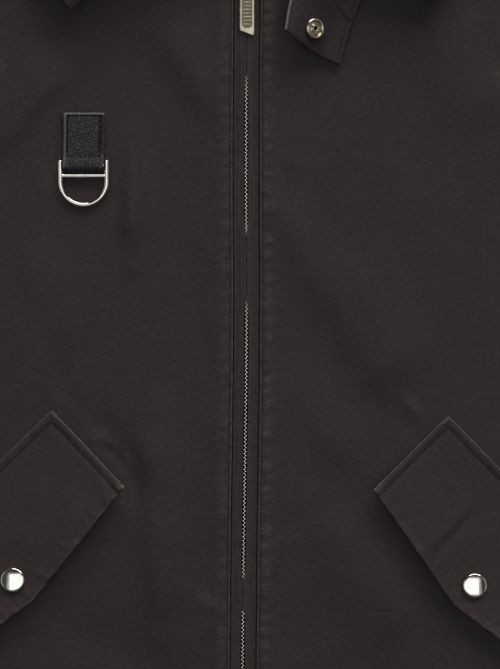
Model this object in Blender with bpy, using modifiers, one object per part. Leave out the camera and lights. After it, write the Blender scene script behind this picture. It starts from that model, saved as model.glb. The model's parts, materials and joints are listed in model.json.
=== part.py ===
"""A sleeveless zip gilet, laid flat on its back with the front up, at its real size.

+X is the wearer's left, +Y points from the hem to the collar, +Z is up, and the surface that the
gilet lies on is z = 0. The origin is under the middle of its outline. Sizes are in millimetres,
and each mesh is turned to metres as it is made.
"""

import math

import bmesh
import bpy
import numpy as np
from mathutils import Matrix, Vector

MM = 0.001

# Driving sizes of the garment
TOTAL_LENGTH = 690.0  # hem to the top of the collar at the back
COLLAR_ABOVE_SHOULDER = 30.0
FRONT_NECK_DROP = 95.0
NECK_HALF = 80.0
CHEST_HALF = 276.0
HEM_HALF = 270.0
SHOULDER_HALF = 203.0
SHOULDER_DROP = 44.0
ARMHOLE_DEPTH = 270.0

HEM_Y = -TOTAL_LENGTH / 2
SHOULDER_Y = TOTAL_LENGTH / 2 - COLLAR_ABOVE_SHOULDER
NECK_Y = SHOULDER_Y - FRONT_NECK_DROP
UNDERARM_Y = SHOULDER_Y - ARMHOLE_DEPTH
SHOULDER_TIP = (SHOULDER_HALF, SHOULDER_Y - SHOULDER_DROP)
NECK_POINT = (NECK_HALF, SHOULDER_Y)
SIDE_FOOT = (HEM_HALF, HEM_Y)
UNDERARM = (CHEST_HALF, UNDERARM_Y)

# Cloth
CLOTH = 1.5  # waxed shell with its lining
FLAP_CLOTH = 2.0  # two layers and a stiffener
COLLAR_CLOTH = 2.2
STRIP_CLOTH = 1.2
SEAM_GAP = 0.3

# Heights over the surface that the gilet lies on
FRONT_REST = 5.0  # top of a front where it lies calmly on the back
FRONT_EDGE_TOP = 7.0  # top of a front at its zip edge, which lies on the zip
ZIP_RISE_WIDTH = 34.0  # a front comes down from the zip over this width
FRONT_CROWN = 0.5  # how much higher the middle of a panel lies
EDGE_ROLL = 14.0  # the panel rounds down to the back over this width
BACK_CURL = 1.5  # the back's edges curl up by this much
BACK_CURL_WIDTH = 9.0
EDGE_LAP = CLOTH + SEAM_GAP  # from the back's upper face to the front's outer face along the side and shoulder
BACK_LIFT = 2.9  # the back lies over the folded collar near the neck

# Zip
ZIP_EDGE = 8.0  # half the opening between the two panels' folded edges
STRIP_UNDERLAP = 6.0
# A strip's height at the panel's edge, its climb to the fold, and its fall to the raw edge
STRIP_LOW, STRIP_RISE, STRIP_DIP = 5.0, 1.4, 0.9
CHAIN_WIDTH, CHAIN_THICK = 5.4, 2.2
CHAIN_Z = 2.6
SLIDER_Y, SLIDER_LENGTH, SLIDER_WIDTH = 206.0, 13.0, 9.4
SLIDER_TOP = 8.0
BRIDGE_HALF, BRIDGE_RISE, BRIDGE_WIRE = 3.4, 2.2, 0.75
PULL_WIDTH, PULL_LENGTH, PULL_THICK = 9.0, 34.0, 1.4
PULL_AXIS_Z = SLIDER_TOP + 1.3
PULL_DROOP = 3.0  # degrees; the tag slopes from the slider down to the cloth
PULL_SLANT = 3.2  # its lower end is cut aslant by this much
WINDOW_LENGTH, WINDOW_HALF = 5.0, 1.9  # the tag's eye

# Pocket flaps
FLAP_LENGTH, FLAP_DEPTH = 172.0, 63.8
SNAP_FROM_POINT = 17.0
CAP_RADIUS, CAP_HEIGHT = 7.7, 3.0
# The seam's inner end and its slope in degrees, the side, how far along and how deep the point is,
# and how far the free edge stands off
FLAP_PLACES = {
    "left": {"corner": (122.6, -57.9), "slope": 45.8, "side": 1, "point_at": 84.2, "point": 13.8, "lift": 6.8},
    "right": {"corner": (-117.6, -54.6), "slope": 44.1, "side": -1, "point_at": 87.8, "point": 10.8, "lift": 8.8},
}

# Ring and its leather tab, on the wearer's right chest
RING_X, RING_AXIS_Y = -98.4, 93.2
RING_WIRE = 1.4
RING_HALF = 14.2  # centre line of the legs
RING_LEG_TOP, RING_BAR, RING_ARC_CENTRE = 3.0, -6.2, -9.7
PIN_RADIUS, PIN_CLEARANCE = 1.3, 0.4
RING_FOOT_Y = 71.0  # the arc of the ring rests on the chest about here
TAB_WIDTH, TAB_LENGTH, LEATHER = 24.6, 32.0, 1.6

# Throat tab, hanging out from under the collar on the wearer's left
THROAT_SNAP = (39.8, 175.3)
SOCKET_RADIUS = 6.6
TAB_EDGES = [  # left edge x, y, height over the chest; right edge x, y, height over the chest
    (23.2, 173.5, 16.5, 56.8, 153.8, 2.4),
    (24.0, 179.3, 15.6, 59.4, 163.0, 2.0),
    (25.4, 187.5, 14.4, 62.6, 174.2, 1.8),
    (27.8, 198.0, 12.0, 66.8, 185.5, 1.8),
    (31.8, 210.0, 9.0, 71.8, 198.0, 2.2),
    (36.5, 221.0, 6.0, 77.0, 211.0, 3.0),
    (40.0, 232.0, 3.6, 84.0, 226.0, 4.0),
]
TAB_FLAT, TAB_RAMP = 0.18, 0.78  # shares of the tab's width from its right edge: flat, then climbing

# The zip's line wanders a little from hem to neck: x offset at height y
ZIP_SWAY = [  # y, x
    (-345, -1.0), (-210, -2.1), (-144, -1.5), (-35, 0.1), (19, 0.4),
    (74, 0.0), (128, 0.1), (195, 0.7), (225, 0.5),
]

# Half the gap between the two zip strips at height y: open where the teeth show, at the slider and at the end box
STRIP_GAP = [  # y, half gap
    (-345, 4.9), (-331, 4.9), (-318, 1.2), (-180, 1.2), (-176, 0.25), (-158, 0.25),
    (-150, 1.2), (2, 1.2), (12, 0.25), (52, 0.25), (64, 1.2), (138, 1.1),
    (152, 0.3), (172, 0.3), (196, 4.2), (199, 5.3), (213, 5.3), (220, 4.6),
]

# Soft folds of the two fronts: from (x, y) to (x, y), half width, and height (a trough is below 0)
FOLDS = [  # x0, y0, x1, y1, widths of the left and right flanks, height
    (-55, 185, -12, 120, 20, 12, 2.5),
    (-73, 110, -68, 34, 10, 8, 3.2),
    (-165, 95, -104, 158, 28, 12, 3.4),
    (-88, -66, -58, -109, 9, 9, -2.0),
    (-60, -60, -50, -190, 16, 10, 3.0),
    (-28, 12, -24, -40, 8, 7, -0.8),
    (-113, -185, -52, -212, 16, 14, -1.2),
    (-110, 22, -104, -34, 13, 10, 0.9),
    (6, 122, 24, 92, 8, 7, 0.9),
    (10, 103, 45, 90, 8, 6, 0.8),
    (10, 78, 96, -50, 15, 14, 2.5),
    (10, 80, 27, 55, 7, 8, 1.2),
    (24, 30, 88, -68, 9, 14, -0.6),
    (75, -46, 95, -66, 5, 7, -0.9),
    (33, -49, 72, -95, 14, 12, 1.5),
    (44, -112, 101, -200, 14, 20, 2.3),
    (108, 200, 146, 108, 24, 20, 3.2),
    (-255, 20, -165, 75, 16, 13, 1.9),
    (-262, -40, -185, -5, 15, 12, 1.5),
    (258, 14, 172, 62, 12, 15, 1.8),
    (260, -50, 190, -20, 13, 16, 1.6),
    (-62, -245, -68, -345, 18, 15, 1.8),
    (-142, -262, -136, -345, 20, 16, 2.1),
    (-216, -250, -224, -345, 14, 18, 1.7),
    (56, -238, 64, -345, 15, 17, 1.7),
    (128, -250, 140, -345, 19, 16, 2.1),
    (212, -262, 220, -345, 15, 19, 1.8),
    (-165, 262, -150, 190, 15, 12, 1.6),
    (160, 264, 152, 184, 13, 16, 1.6),
]
FOLD_FADE = 28.0  # a fold dies out over this length at each end
CALM_Y = 98.0  # the middle of the calm cloth under the leather tab and its ring

# The collar from its front end round to the middle of the back, wearer's left half.
# seam: foot of the stand; roll: where the collar folds over; fall: half way down the leaf; edge: its edge
COLLAR = [
    {"seam": (6, 222.5, 0), "roll": (29, 246, 35), "fall": (68, 226, 34), "edge": (110, 190, 20)},
    {"seam": (31, 230, 0), "roll": (45, 257, 38.5), "fall": (85, 243, 34.5), "edge": (129, 215, 19.5)},
    {"seam": (56, 251, 0), "roll": (57, 275, 41), "fall": (98, 268, 32.5), "edge": (143, 246, 18.5)},
    {"seam": (71.5, 281, 0), "roll": (64, 297, 42), "fall": (103, 292, 32), "edge": (146, 277, 16)},
    {"seam": (78, 304, 0), "roll": (68, 316, 39), "fall": (100, 315, 28.5), "edge": (133, 303, 9)},
    {"seam": (74, 315.5, 7.6), "roll": (65, 331, 27.5), "fall": (88, 327, 9.5), "edge": (108, 306, 2.2)},
    {"seam": (57, 312, 5.0), "roll": (50, 338, 14), "fall": (60, 329, 2.4), "edge": (74, 290, 1.3)},
    {"seam": (30, 308.5, 4.0), "roll": (27, 340.3, 8.5), "fall": (31, 326, 1.7), "edge": (37, 284, 1.2)},
    {"seam": (0, 307, 3.8), "roll": (0, 340.3, 7.6), "fall": (0, 326, 1.6), "edge": (0, 282, 1.2)},
]
TIP_SLIP = {1: (2.8, -0.8), -1: (5.1, -4.6)}  # the tips lie unevenly: x and y of each side's shift
TIP_SHARES = {(0, "edge"): 1.0, (0, "fall"): 0.4, (1, "edge"): 0.45}  # of that shift, by section and line
FOLD_RADIUS = 3.2
LEAF_START = 4.0  # the leaf is sewn to the stand this far below the fold


# ---------------------------------------------------------------- curves and heights
def smooth(t):
    t = min(max(t, 0.0), 1.0)
    return t * t * (3 - 2 * t)


def spline(points, count):
    """count points along a smooth curve through the given ones, the given ones evenly shared."""
    p = np.array(points, float)
    p = np.vstack([2 * p[0] - p[1], p, 2 * p[-1] - p[-2]])
    out = []
    for t in np.linspace(0, len(points) - 1, count):
        i = min(int(t), len(points) - 2)
        f = t - i
        a, b, c, d = p[i], p[i + 1], p[i + 2], p[i + 3]
        bend, turn = 2 * a - 5 * b + 4 * c - d, 3 * b - a - 3 * c + d
        out.append(0.5 * (2 * b + (c - a) * f + bend * f**2 + turn * f**3))
    return np.array(out)


def segment_distance(x, y, a, b):
    """Distance of (x, y) from the segment a-b, whether it is right of it, and how far along it from its nearer end."""
    dx, dy = b[0] - a[0], b[1] - a[1]
    length = math.hypot(dx, dy)
    along = ((x - a[0]) * dx + (y - a[1]) * dy) / length
    held = min(max(along, 0.0), length)
    away = math.hypot(x - a[0] - dx * held / length, y - a[1] - dy * held / length)
    right = (x - a[0]) * dy > (y - a[1]) * dx
    return away, right, min(held, length - held)


def zip_sway(y):
    ys = [row[0] for row in ZIP_SWAY]
    return float(np.interp(y, ys, [row[1] for row in ZIP_SWAY]))


def swayed(x, y):
    """x moved with the zip's wandering line, less so away from it."""
    return x + zip_sway(y) * math.exp(-abs(x) / 60.0)


def fold_height(x, y):
    total = 0.0
    for x0, y0, x1, y1, left_width, right_width, height in FOLDS:
        away, right, inside = segment_distance(x, y, (x0, y0), (x1, y1))
        width = right_width if right else left_width
        total += height * math.exp(-((away / width) ** 2)) * (0.35 + 0.65 * smooth(inside / FOLD_FADE))
    return total


def back_lift(x, y):
    """How far the back is held up by the collar's leaf, which is folded under it at the neck."""
    return BACK_LIFT * smooth((y - 212) / 58) * (1 - smooth((abs(x) - 140) / 45))


def rounded(distance, width):
    """0 at an edge and 1 from width inwards, as a quarter circle."""
    t = min(max(distance / width, 0.0), 1.0)
    return math.sqrt(1 - (1 - t) ** 2)


def calm(x, y):
    """1 over most of the front and less under the leather tab, where the stitched cloth is flat."""
    away = math.hypot(x - RING_X, (y - CALM_Y) * 0.8)
    return smooth((away - 18) / 26)


def front_top(x, y):
    """Height of a front panel's outer face."""
    ax = abs(x)
    side, _, _ = segment_distance(ax, y, SIDE_FOOT, UNDERARM)
    shoulder, _, _ = segment_distance(ax, y, NECK_POINT, SHOULDER_TIP)
    crown = FRONT_CROWN * math.sin(math.pi * min(ax / CHEST_HALF, 1.0))
    neck = 1.6 * smooth((y - 150) / 110)
    beside_zip = smooth((ax - ZIP_EDGE) / 26)
    rise = (FRONT_EDGE_TOP - FRONT_REST) * (1 - smooth((ax - ZIP_EDGE) / ZIP_RISE_WIDTH))
    folds = fold_height(x, y) * calm(x, y) * (0.15 + 0.85 * beside_zip)
    full = FRONT_REST + rise + crown + neck + folds + back_lift(x, y)
    foot = back_lift(x, y) + BACK_CURL + CLOTH + EDGE_LAP
    return foot + (full - foot) * rounded(side, EDGE_ROLL) * rounded(shoulder, EDGE_ROLL)


def back_bottom(x, y):
    """Height of the back panel's outer face, which is the one that lies down."""
    ax = abs(x)
    side, _, _ = segment_distance(ax, y, SIDE_FOOT, UNDERARM)
    shoulder, _, _ = segment_distance(ax, y, NECK_POINT, SHOULDER_TIP)
    curl = 1 - smooth(side / BACK_CURL_WIDTH) * smooth(shoulder / BACK_CURL_WIDTH)
    return back_lift(x, y) + BACK_CURL * curl


# ---------------------------------------------------------------- meshes
def material(name, colour, roughness, metallic=0.0):
    m = bpy.data.materials.get(name)
    if m is None:
        m = bpy.data.materials.new(name)
        m.use_nodes = True
        shader = m.node_tree.nodes["Principled BSDF"]
        shader.inputs["Base Color"].default_value = (*colour, 1)
        shader.inputs["Roughness"].default_value = roughness
        shader.inputs["Metallic"].default_value = metallic
    return m


def waxed_cotton():
    return material("waxed cotton", (0.030, 0.023, 0.023), 0.6)


def leather():
    return material("black leather", (0.022, 0.023, 0.026), 0.45)


def nickel():
    return material("polished nickel", (0.80, 0.78, 0.74), 0.15, 1.0)


def brass():
    return material("pale antique brass", (0.50, 0.47, 0.38), 0.3, 1.0)


def add(name, mesh, finish):
    obj = bpy.data.objects.new(name, mesh)
    gilet.objects.link(obj)
    obj.data.materials.append(finish)
    return obj


def wall(name, grid, thickness, finish, offset=-1.0):
    """A cloth wall on a grid of points in millimetres.

    The grid is the wall's outer face at offset -1, its middle at 0, and its under face at 1.
    """
    rows, columns = len(grid), len(grid[0])
    points = [Vector(p) * MM for row in grid for p in row]
    faces = [
        (r * columns + c, r * columns + c + 1, (r + 1) * columns + c + 1, (r + 1) * columns + c)
        for r in range(rows - 1)
        for c in range(columns - 1)
    ]
    mesh = bpy.data.meshes.new(name)
    mesh.from_pydata(points, [], faces)
    mesh.shade_smooth()
    obj = add(name, mesh, finish)
    shell = obj.modifiers.new("cloth", "SOLIDIFY")
    shell.thickness = thickness * MM
    shell.offset = offset
    return obj


def turned(name, profile, place, finish, steps=24):
    """A piece turned about its own Z from (radius, height) points, top to bottom, and placed by a matrix."""
    mesh = bpy.data.meshes.new(name)
    points = [(r * MM, 0, z * MM) for r, z in profile]
    mesh.from_pydata(points, [(i, i + 1) for i in range(len(points) - 1)], [])
    obj = add(name, mesh, finish)
    screw = obj.modifiers.new("turn", "SCREW")
    screw.steps = screw.render_steps = steps
    screw.use_merge_vertices = True
    screw.merge_threshold = 0.00001
    obj.matrix_world = place
    return obj


def facing(point, normal):
    """A matrix that puts a piece at a point in millimetres, with its Z along a normal."""
    turn = Vector(normal).to_track_quat("Z", "Y").to_matrix().to_4x4()
    return Matrix.Translation(Vector(point) * MM) @ turn


# ---------------------------------------------------------------- front and back panels
# From the underarm to the shoulder tip, and from the zip to the neck point
FRONT_ARMHOLE = [UNDERARM, (249, 54), (219, 84), (199, 126), (190, 172), (190, 216), (196, 247), SHOULDER_TIP]
BACK_ARMHOLE = [UNDERARM, (256, 58), (228, 92), (209, 132), (201, 176), (200, 218), (202, 247), SHOULDER_TIP]
FRONT_NECKLINE = [(ZIP_EDGE, NECK_Y), (30, 227), (54, 249), (70, 280), NECK_POINT]


LOWER_ROWS, CHEST_ROWS, NECK_ROWS = 20, 9, 8
COLUMN_SHARES = (0.0, 0.07, 0.15, 0.24, 0.33, 0.42, 0.51, 0.60, 0.69, 0.78, 0.87)
EDGE_COLUMNS = (-16.0, -9.0, -4.5, -1.5, 0.0)
SHOULDER_SHARES = (0.5, 0.72, 0.88, 0.97, 1.0)  # rows between the last one below the shoulder seam and the seam


def front_outline():
    """Pairs of points, inner edge and outer edge, from the hem up to the shoulder seam."""
    pairs = []
    for t in np.linspace(0, 1, LOWER_ROWS + 1):
        y = HEM_Y + (UNDERARM_Y - HEM_Y) * t
        pairs.append(((ZIP_EDGE, y), (HEM_HALF + (CHEST_HALF - HEM_HALF) * t, y)))
    outer = spline(FRONT_ARMHOLE, CHEST_ROWS + NECK_ROWS + 1)
    inner = [(ZIP_EDGE, UNDERARM_Y + (NECK_Y - UNDERARM_Y) * t) for t in np.linspace(0, 1, CHEST_ROWS + 1)]
    inner += [tuple(p) for p in spline(FRONT_NECKLINE, NECK_ROWS + 1)[1:]]
    pairs += list(zip(inner, outer))[1:]
    below, seam = pairs[-2:]
    fine = []
    for share in SHOULDER_SHARES:
        fine.append(tuple(tuple(a + (b - a) * share for a, b in zip(p, q)) for p, q in zip(below, seam)))
    return pairs[:-1] + fine


def across(inner, outer):
    """Points from the inner to the outer edge, closer together near the outer one."""
    a, b = np.array(inner, float), np.array(outer, float)
    width = np.linalg.norm(b - a)
    roll = [1 + e / width for e in EDGE_COLUMNS]
    shares = [s for s in COLUMN_SHARES if s < roll[0] - 0.02] + roll
    while len(shares) < len(COLUMN_SHARES) + len(EDGE_COLUMNS):
        shares.insert(0, None)
    missing = shares.count(None)
    kept = shares[missing:]
    step = kept[1] / (missing + 1)
    shares = [0.0] + [step * (k + 1) for k in range(missing)] + kept[1:]
    return [a + (b - a) * s for s in shares]


def front_grid(side):
    grid = []
    for inner, outer in front_outline():
        row = []
        for x, y in across(inner, outer):
            row.append((swayed(side * x, y), y, front_top(side * x, y)))
        grid.append(row if side > 0 else row[::-1])
    return grid


def make_fronts():
    wall("front_left", front_grid(1), CLOTH, waxed_cotton())
    wall("front_right", front_grid(-1), CLOTH, waxed_cotton())


BACK_LOWER_ROWS, BACK_UPPER_ROWS = 12, 13
BACK_TOP_Y = 280.0  # where the last row below the neckline meets the middle of the back
BACK_NECKLINE = [(0, 305), (30, 306), (56, 309.5), NECK_POINT]


def back_outline():
    """Pairs of points, middle of the back and outer edge, from the hem to the neckline and shoulder."""
    pairs = []
    for t in np.linspace(0, 1, BACK_LOWER_ROWS + 1):
        y = HEM_Y + (UNDERARM_Y - HEM_Y) * t
        pairs.append(((0, y), (HEM_HALF + (CHEST_HALF - HEM_HALF) * t, y)))
    outer = spline(BACK_ARMHOLE, BACK_UPPER_ROWS + 1)
    for k, tip in enumerate(outer[1:], 1):
        pairs.append(((0, UNDERARM_Y + (BACK_TOP_Y - UNDERARM_Y) * k / BACK_UPPER_ROWS), tuple(tip)))
    return pairs


def back_half():
    """Rows of points from the middle to the edge. The last rows climb to the shoulder seam and the neckline."""
    shares = (0.0, 0.2, 0.4, 0.6, 0.8)
    grid = []
    for inner, outer in back_outline():
        a, b = np.array(inner, float), np.array(outer, float)
        width = np.linalg.norm(b - a)
        steps = list(shares) + [1 + e / width for e in (-10.0, -5.0, -1.5, 0.0)]
        grid.append([a + (b - a) * s for s in steps])
    neck = spline(BACK_NECKLINE, 5)
    start, seam = np.array(NECK_POINT), np.array(SHOULDER_TIP) - np.array(NECK_POINT)
    shoulder = [start + seam * t for t in (0.3, 0.7, 0.94, 1.0)]
    rim = list(neck) + shoulder
    last = grid.pop()
    for share in (0.3, 0.6, 0.82, 0.95, 1.0):
        grid.append([p + (q - p) * share for p, q in zip(last, rim)])
    return grid


def make_back():
    half = back_half()
    grid = []
    for row in half:
        right = [(x, y, back_bottom(x, y)) for x, y in row]
        left = [(-x, y, z) for x, y, z in right[:0:-1]]
        grid.append((left + right)[::-1])
    wall("back", grid, CLOTH, waxed_cotton())


# ---------------------------------------------------------------- zip
def strip_gap(y):
    """Half the gap between the two zip strips."""
    return float(np.interp(y, [row[0] for row in STRIP_GAP], [row[1] for row in STRIP_GAP]))


def strip_top(x):
    """Height of a zip strip's upper face: highest at the fold that meets the zip, lower under the panel."""
    near = max(0.0, 1 - (x - 0.3) / (ZIP_EDGE - 0.3))
    if x < ZIP_EDGE:
        return STRIP_LOW + STRIP_RISE * smooth(near)
    return STRIP_LOW - STRIP_DIP * smooth((x - ZIP_EDGE) / STRIP_UNDERLAP)


def make_strips():
    rows = [HEM_Y + 1.0 + (NECK_Y - 0.5 - HEM_Y - 1.0) * t for t in np.linspace(0, 1, 45)]
    rows = sorted(rows + [-331, -318, -180, -176, 196, 199, 213])
    for side, name in ((1, "zip_strip_left"), (-1, "zip_strip_right")):
        grid = []
        for y in rows:
            inner = strip_gap(y)
            row = []
            for share in (0.0, 0.3, 0.65, 1.0):
                x = inner + (ZIP_EDGE - inner) * share
                row.append((swayed(side * x, y), y, strip_top(x)))
            x = ZIP_EDGE + STRIP_UNDERLAP
            row.append((swayed(side * x, y), y, strip_top(x)))
            grid.append(row if side > 0 else row[::-1])
        wall(name, grid, STRIP_CLOTH, waxed_cotton())


def make_chain():
    """The zip's closed teeth as one plain bar, from the end box up to the slider."""
    top = SLIDER_Y - SLIDER_LENGTH / 2 - SEAM_GAP
    ys = np.linspace(HEM_Y + 13.5, top, 30)
    face = CHAIN_Z + CHAIN_THICK
    grid = [[(zip_sway(y) + side * CHAIN_WIDTH / 2, y, face) for side in (-1, 1)] for y in ys]
    wall("zip_teeth", grid, CHAIN_THICK, brass())


def box_mesh(name, size, bevel, finish, centre):
    """A box with rounded edges, its centre at a point in millimetres."""
    mesh = bpy.data.meshes.new(name)
    b = bmesh.new()
    bmesh.ops.create_cube(b, size=1.0)
    bmesh.ops.scale(b, vec=Vector(size) * MM, verts=b.verts)
    b.to_mesh(mesh)
    b.free()
    obj = add(name, mesh, finish)
    obj.location = Vector(centre) * MM
    rounding = obj.modifiers.new("rounding", "BEVEL")
    rounding.width = bevel * MM
    rounding.segments = 2
    return obj


def make_end_box():
    box_mesh("zip_end_box", (8.4, 11.0, 3.0), 0.7, brass(), (zip_sway(HEM_Y), HEM_Y + 7.2, 4.6))


def plain_mesh(obj):
    """The object's evaluated mesh, welded, as a new object in its place."""
    bpy.context.view_layer.update()
    graph = bpy.context.evaluated_depsgraph_get()
    mesh = bpy.data.meshes.new_from_object(obj.evaluated_get(graph))
    b = bmesh.new()
    b.from_mesh(mesh)
    bmesh.ops.remove_doubles(b, verts=b.verts, dist=0.00001)
    b.to_mesh(mesh)
    b.free()
    new = bpy.data.objects.new(obj.name, mesh)
    new.matrix_world = obj.matrix_world.copy()
    for collection in obj.users_collection:
        collection.objects.link(new)
    name = obj.name
    bpy.data.objects.remove(obj)
    new.name = name
    return new


def tube(name, points, radius, finish, sides=3):
    """A bent wire through points in millimetres."""
    curve = bpy.data.curves.new(name, "CURVE")
    curve.dimensions = "3D"
    curve.bevel_depth = radius * MM
    curve.bevel_resolution = sides
    curve.use_fill_caps = True
    line = curve.splines.new("POLY")
    line.points.add(len(points) - 1)
    for point, place in zip(line.points, points):
        point.co = (*(Vector(place) * MM), 1)
    obj = bpy.data.objects.new(name, curve)
    gilet.objects.link(obj)
    obj.data.materials.append(finish)
    return obj


def joined(base, *others):
    """base with the other pieces fused to it."""
    for other in others:
        fuse = base.modifiers.new("fuse", "BOOLEAN")
        fuse.operation = "UNION"
        fuse.object = other
    fused = plain_mesh(base)
    for other in others:
        bpy.data.objects.remove(other)
    return fused


def make_slider():
    x = zip_sway(SLIDER_Y)
    base = CHAIN_Z - 0.2
    body = box_mesh("zip_slider", (SLIDER_WIDTH, SLIDER_LENGTH, SLIDER_TOP - base), 1.1, brass(),
                    (x, SLIDER_Y, (SLIDER_TOP + base) / 2))
    top = PULL_AXIS_Z + BRIDGE_RISE
    arch = [(x, SLIDER_Y - BRIDGE_HALF - 0.3, SLIDER_TOP - 0.8), (x, SLIDER_Y - BRIDGE_HALF, top - 1.2),
            (x, SLIDER_Y - BRIDGE_HALF + 1.2, top), (x, SLIDER_Y + BRIDGE_HALF - 1.2, top),
            (x, SLIDER_Y + BRIDGE_HALF, top - 1.2), (x, SLIDER_Y + BRIDGE_HALF + 0.3, SLIDER_TOP - 0.8)]
    bridge = plain_mesh(tube("bridge", arch, 0.75, brass()))
    bridge.data.materials.append(brass())
    joined(body, bridge).data.materials.append(brass())


def make_pull():
    """A flat tag with an eye at the top, round the slider's bridge, and a slanted lower end."""
    half, length, corner = PULL_WIDTH / 2, PULL_LENGTH, 1.2
    slant = PULL_SLANT
    eye = 0.9
    outline = [
        (-half + corner, eye), (half - corner, eye), (half, eye - corner), (half, -length + corner),
        (half - 0.5, -length + 0.25), (half - corner, -length), (half - 2.0, -length + 0.45),
        (-half + 1.3, -length + slant - 0.45), (-half + 0.4, -length + slant + 0.5),
        (-half, -length + slant + 1.5), (-half, eye - corner),
    ]
    window = [(x, y) for x, y in ((-1, -0.7), (-1, -WINDOW_LENGTH), (1, -WINDOW_LENGTH), (1, -0.7))]
    window = [(x * WINDOW_HALF, y) for x, y in window]
    curve = bpy.data.curves.new("zip_pull", "CURVE")
    curve.dimensions = "2D"
    curve.fill_mode = "BOTH"
    curve.extrude = PULL_THICK / 2 * MM
    for loop in (outline, window):
        line = curve.splines.new("POLY")
        line.points.add(len(loop) - 1)
        line.use_cyclic_u = True
        for point, (x, y) in zip(line.points, loop):
            point.co = (x * MM, y * MM, 0, 1)
    obj = bpy.data.objects.new("zip_pull", curve)
    gilet.objects.link(obj)
    obj.data.materials.append(brass())
    obj.location = Vector((zip_sway(SLIDER_Y), SLIDER_Y, PULL_AXIS_Z)) * MM
    obj.rotation_euler = (math.radians(PULL_DROOP), 0, 0)


# ---------------------------------------------------------------- pocket flaps
def flap_point(side_name, along, down):
    """(x, y) of a point of a pocket flap, from its inner top corner."""
    place = FLAP_PLACES[side_name]
    (x0, y0), side = place["corner"], place["side"]
    c, s = math.cos(math.radians(place["slope"])), math.sin(math.radians(place["slope"]))
    return x0 + side * (along * c - down * s), y0 - along * s - down * c


def flap_depth(side_name, along):
    """Depth of the flap, which runs to a shallow point near its middle."""
    place = FLAP_PLACES[side_name]
    at = place["point_at"]
    share = along / at if along < at else (FLAP_LENGTH - along) / (FLAP_LENGTH - at)
    return FLAP_DEPTH + place["point"] * share


def snap_place(side_name):
    """How far along and down the flap its snap is."""
    place = FLAP_PLACES[side_name]
    return place["point_at"], FLAP_DEPTH + place["point"] - SNAP_FROM_POINT


def flap_bottom(side_name, along, down):
    """Height of the flap's under face: on the panel at the seam, and free but for its snap at the lower edge."""
    x, y = flap_point(side_name, along, down)
    free = (down / FLAP_DEPTH) ** 1.7 * FLAP_PLACES[side_name]["lift"]
    middle, low = snap_place(side_name)
    held = math.exp(-(((along - middle) / 30) ** 2) - ((down - low) / 26) ** 2)
    return front_top(x, y) + 0.5 + free * (1 - 0.35 * held)


def make_flaps():
    for name in FLAP_PLACES:
        grid = []
        at = FLAP_PLACES[name]["point_at"]
        for along in list(np.linspace(0, at, 9)) + list(np.linspace(at, FLAP_LENGTH, 9)[1:]):
            row = []
            for share in (0.0, 0.12, 0.28, 0.45, 0.62, 0.8, 0.93, 1.0):
                down = share * flap_depth(name, along)
                x, y = flap_point(name, along, down)
                row.append((x, y, flap_bottom(name, along, down)))
            grid.append(row)
        grid = grid if name == "left" else grid[::-1]
        wall("pocket_flap_" + name, grid, FLAP_CLOTH, waxed_cotton(), offset=1)


def flap_snap(name):
    """The snap's place: its foot on the panel, its top on the flap, and the flap's normal."""
    along, down = snap_place(name)
    step = 4.0

    def top(a, d):
        x, y = flap_point(name, a, d)
        return Vector((x, y, flap_bottom(name, a, d) + FLAP_CLOTH))

    lengthwise = top(along + step, down) - top(along - step, down)
    normal = lengthwise.cross(top(along, down + step) - top(along, down - step))
    if normal.z < 0:
        normal.negate()
    x, y = flap_point(name, along, down)
    return (x, y), front_top(x, y), top(along, down), normal.normalized()


CAP_DOME = [(0, 1), (0.3, 0.97), (0.6, 0.84), (0.85, 0.56), (0.97, 0.25)]  # shares of the cap's radius and height


def make_snaps():
    for name in FLAP_PLACES:
        (x, y), foot, top, normal = flap_snap(name)
        r = CAP_RADIUS
        dome = [(across * r, up * CAP_HEIGHT) for across, up in CAP_DOME] + [(r, 0.35), (0.96 * r, 0.0), (0, 0.0)]
        turned("snap_cap_" + name, dome, facing(top + normal * 0.5, normal), nickel())
        room = flap_bottom(name, *snap_place(name)) - foot
        height = room - 1.2
        stud = [(0, height), (3.6, height), (4.4, height - 0.4), (4.4, 0.8), (5.2, 0.4), (5.2, 0), (0, 0)]
        turned("snap_stud_" + name, stud, facing((x, y, foot + 0.6), (0, 0, 1)), nickel(), 20)


# ---------------------------------------------------------------- ring and leather tab
TAB_FLOOR = front_top(RING_X, RING_AXIS_Y + 5) + 0.6
RING_AXIS_Z = TAB_FLOOR + LEATHER + PIN_RADIUS + PIN_CLEARANCE


# How far the strap has come down at each distance from the pin
TAB_DROPS = [(1.6, 0.25), (3.4, 1.2), (5.0, 2.3), (6.6, 2.95), (9.0, 3.2)]


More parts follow.
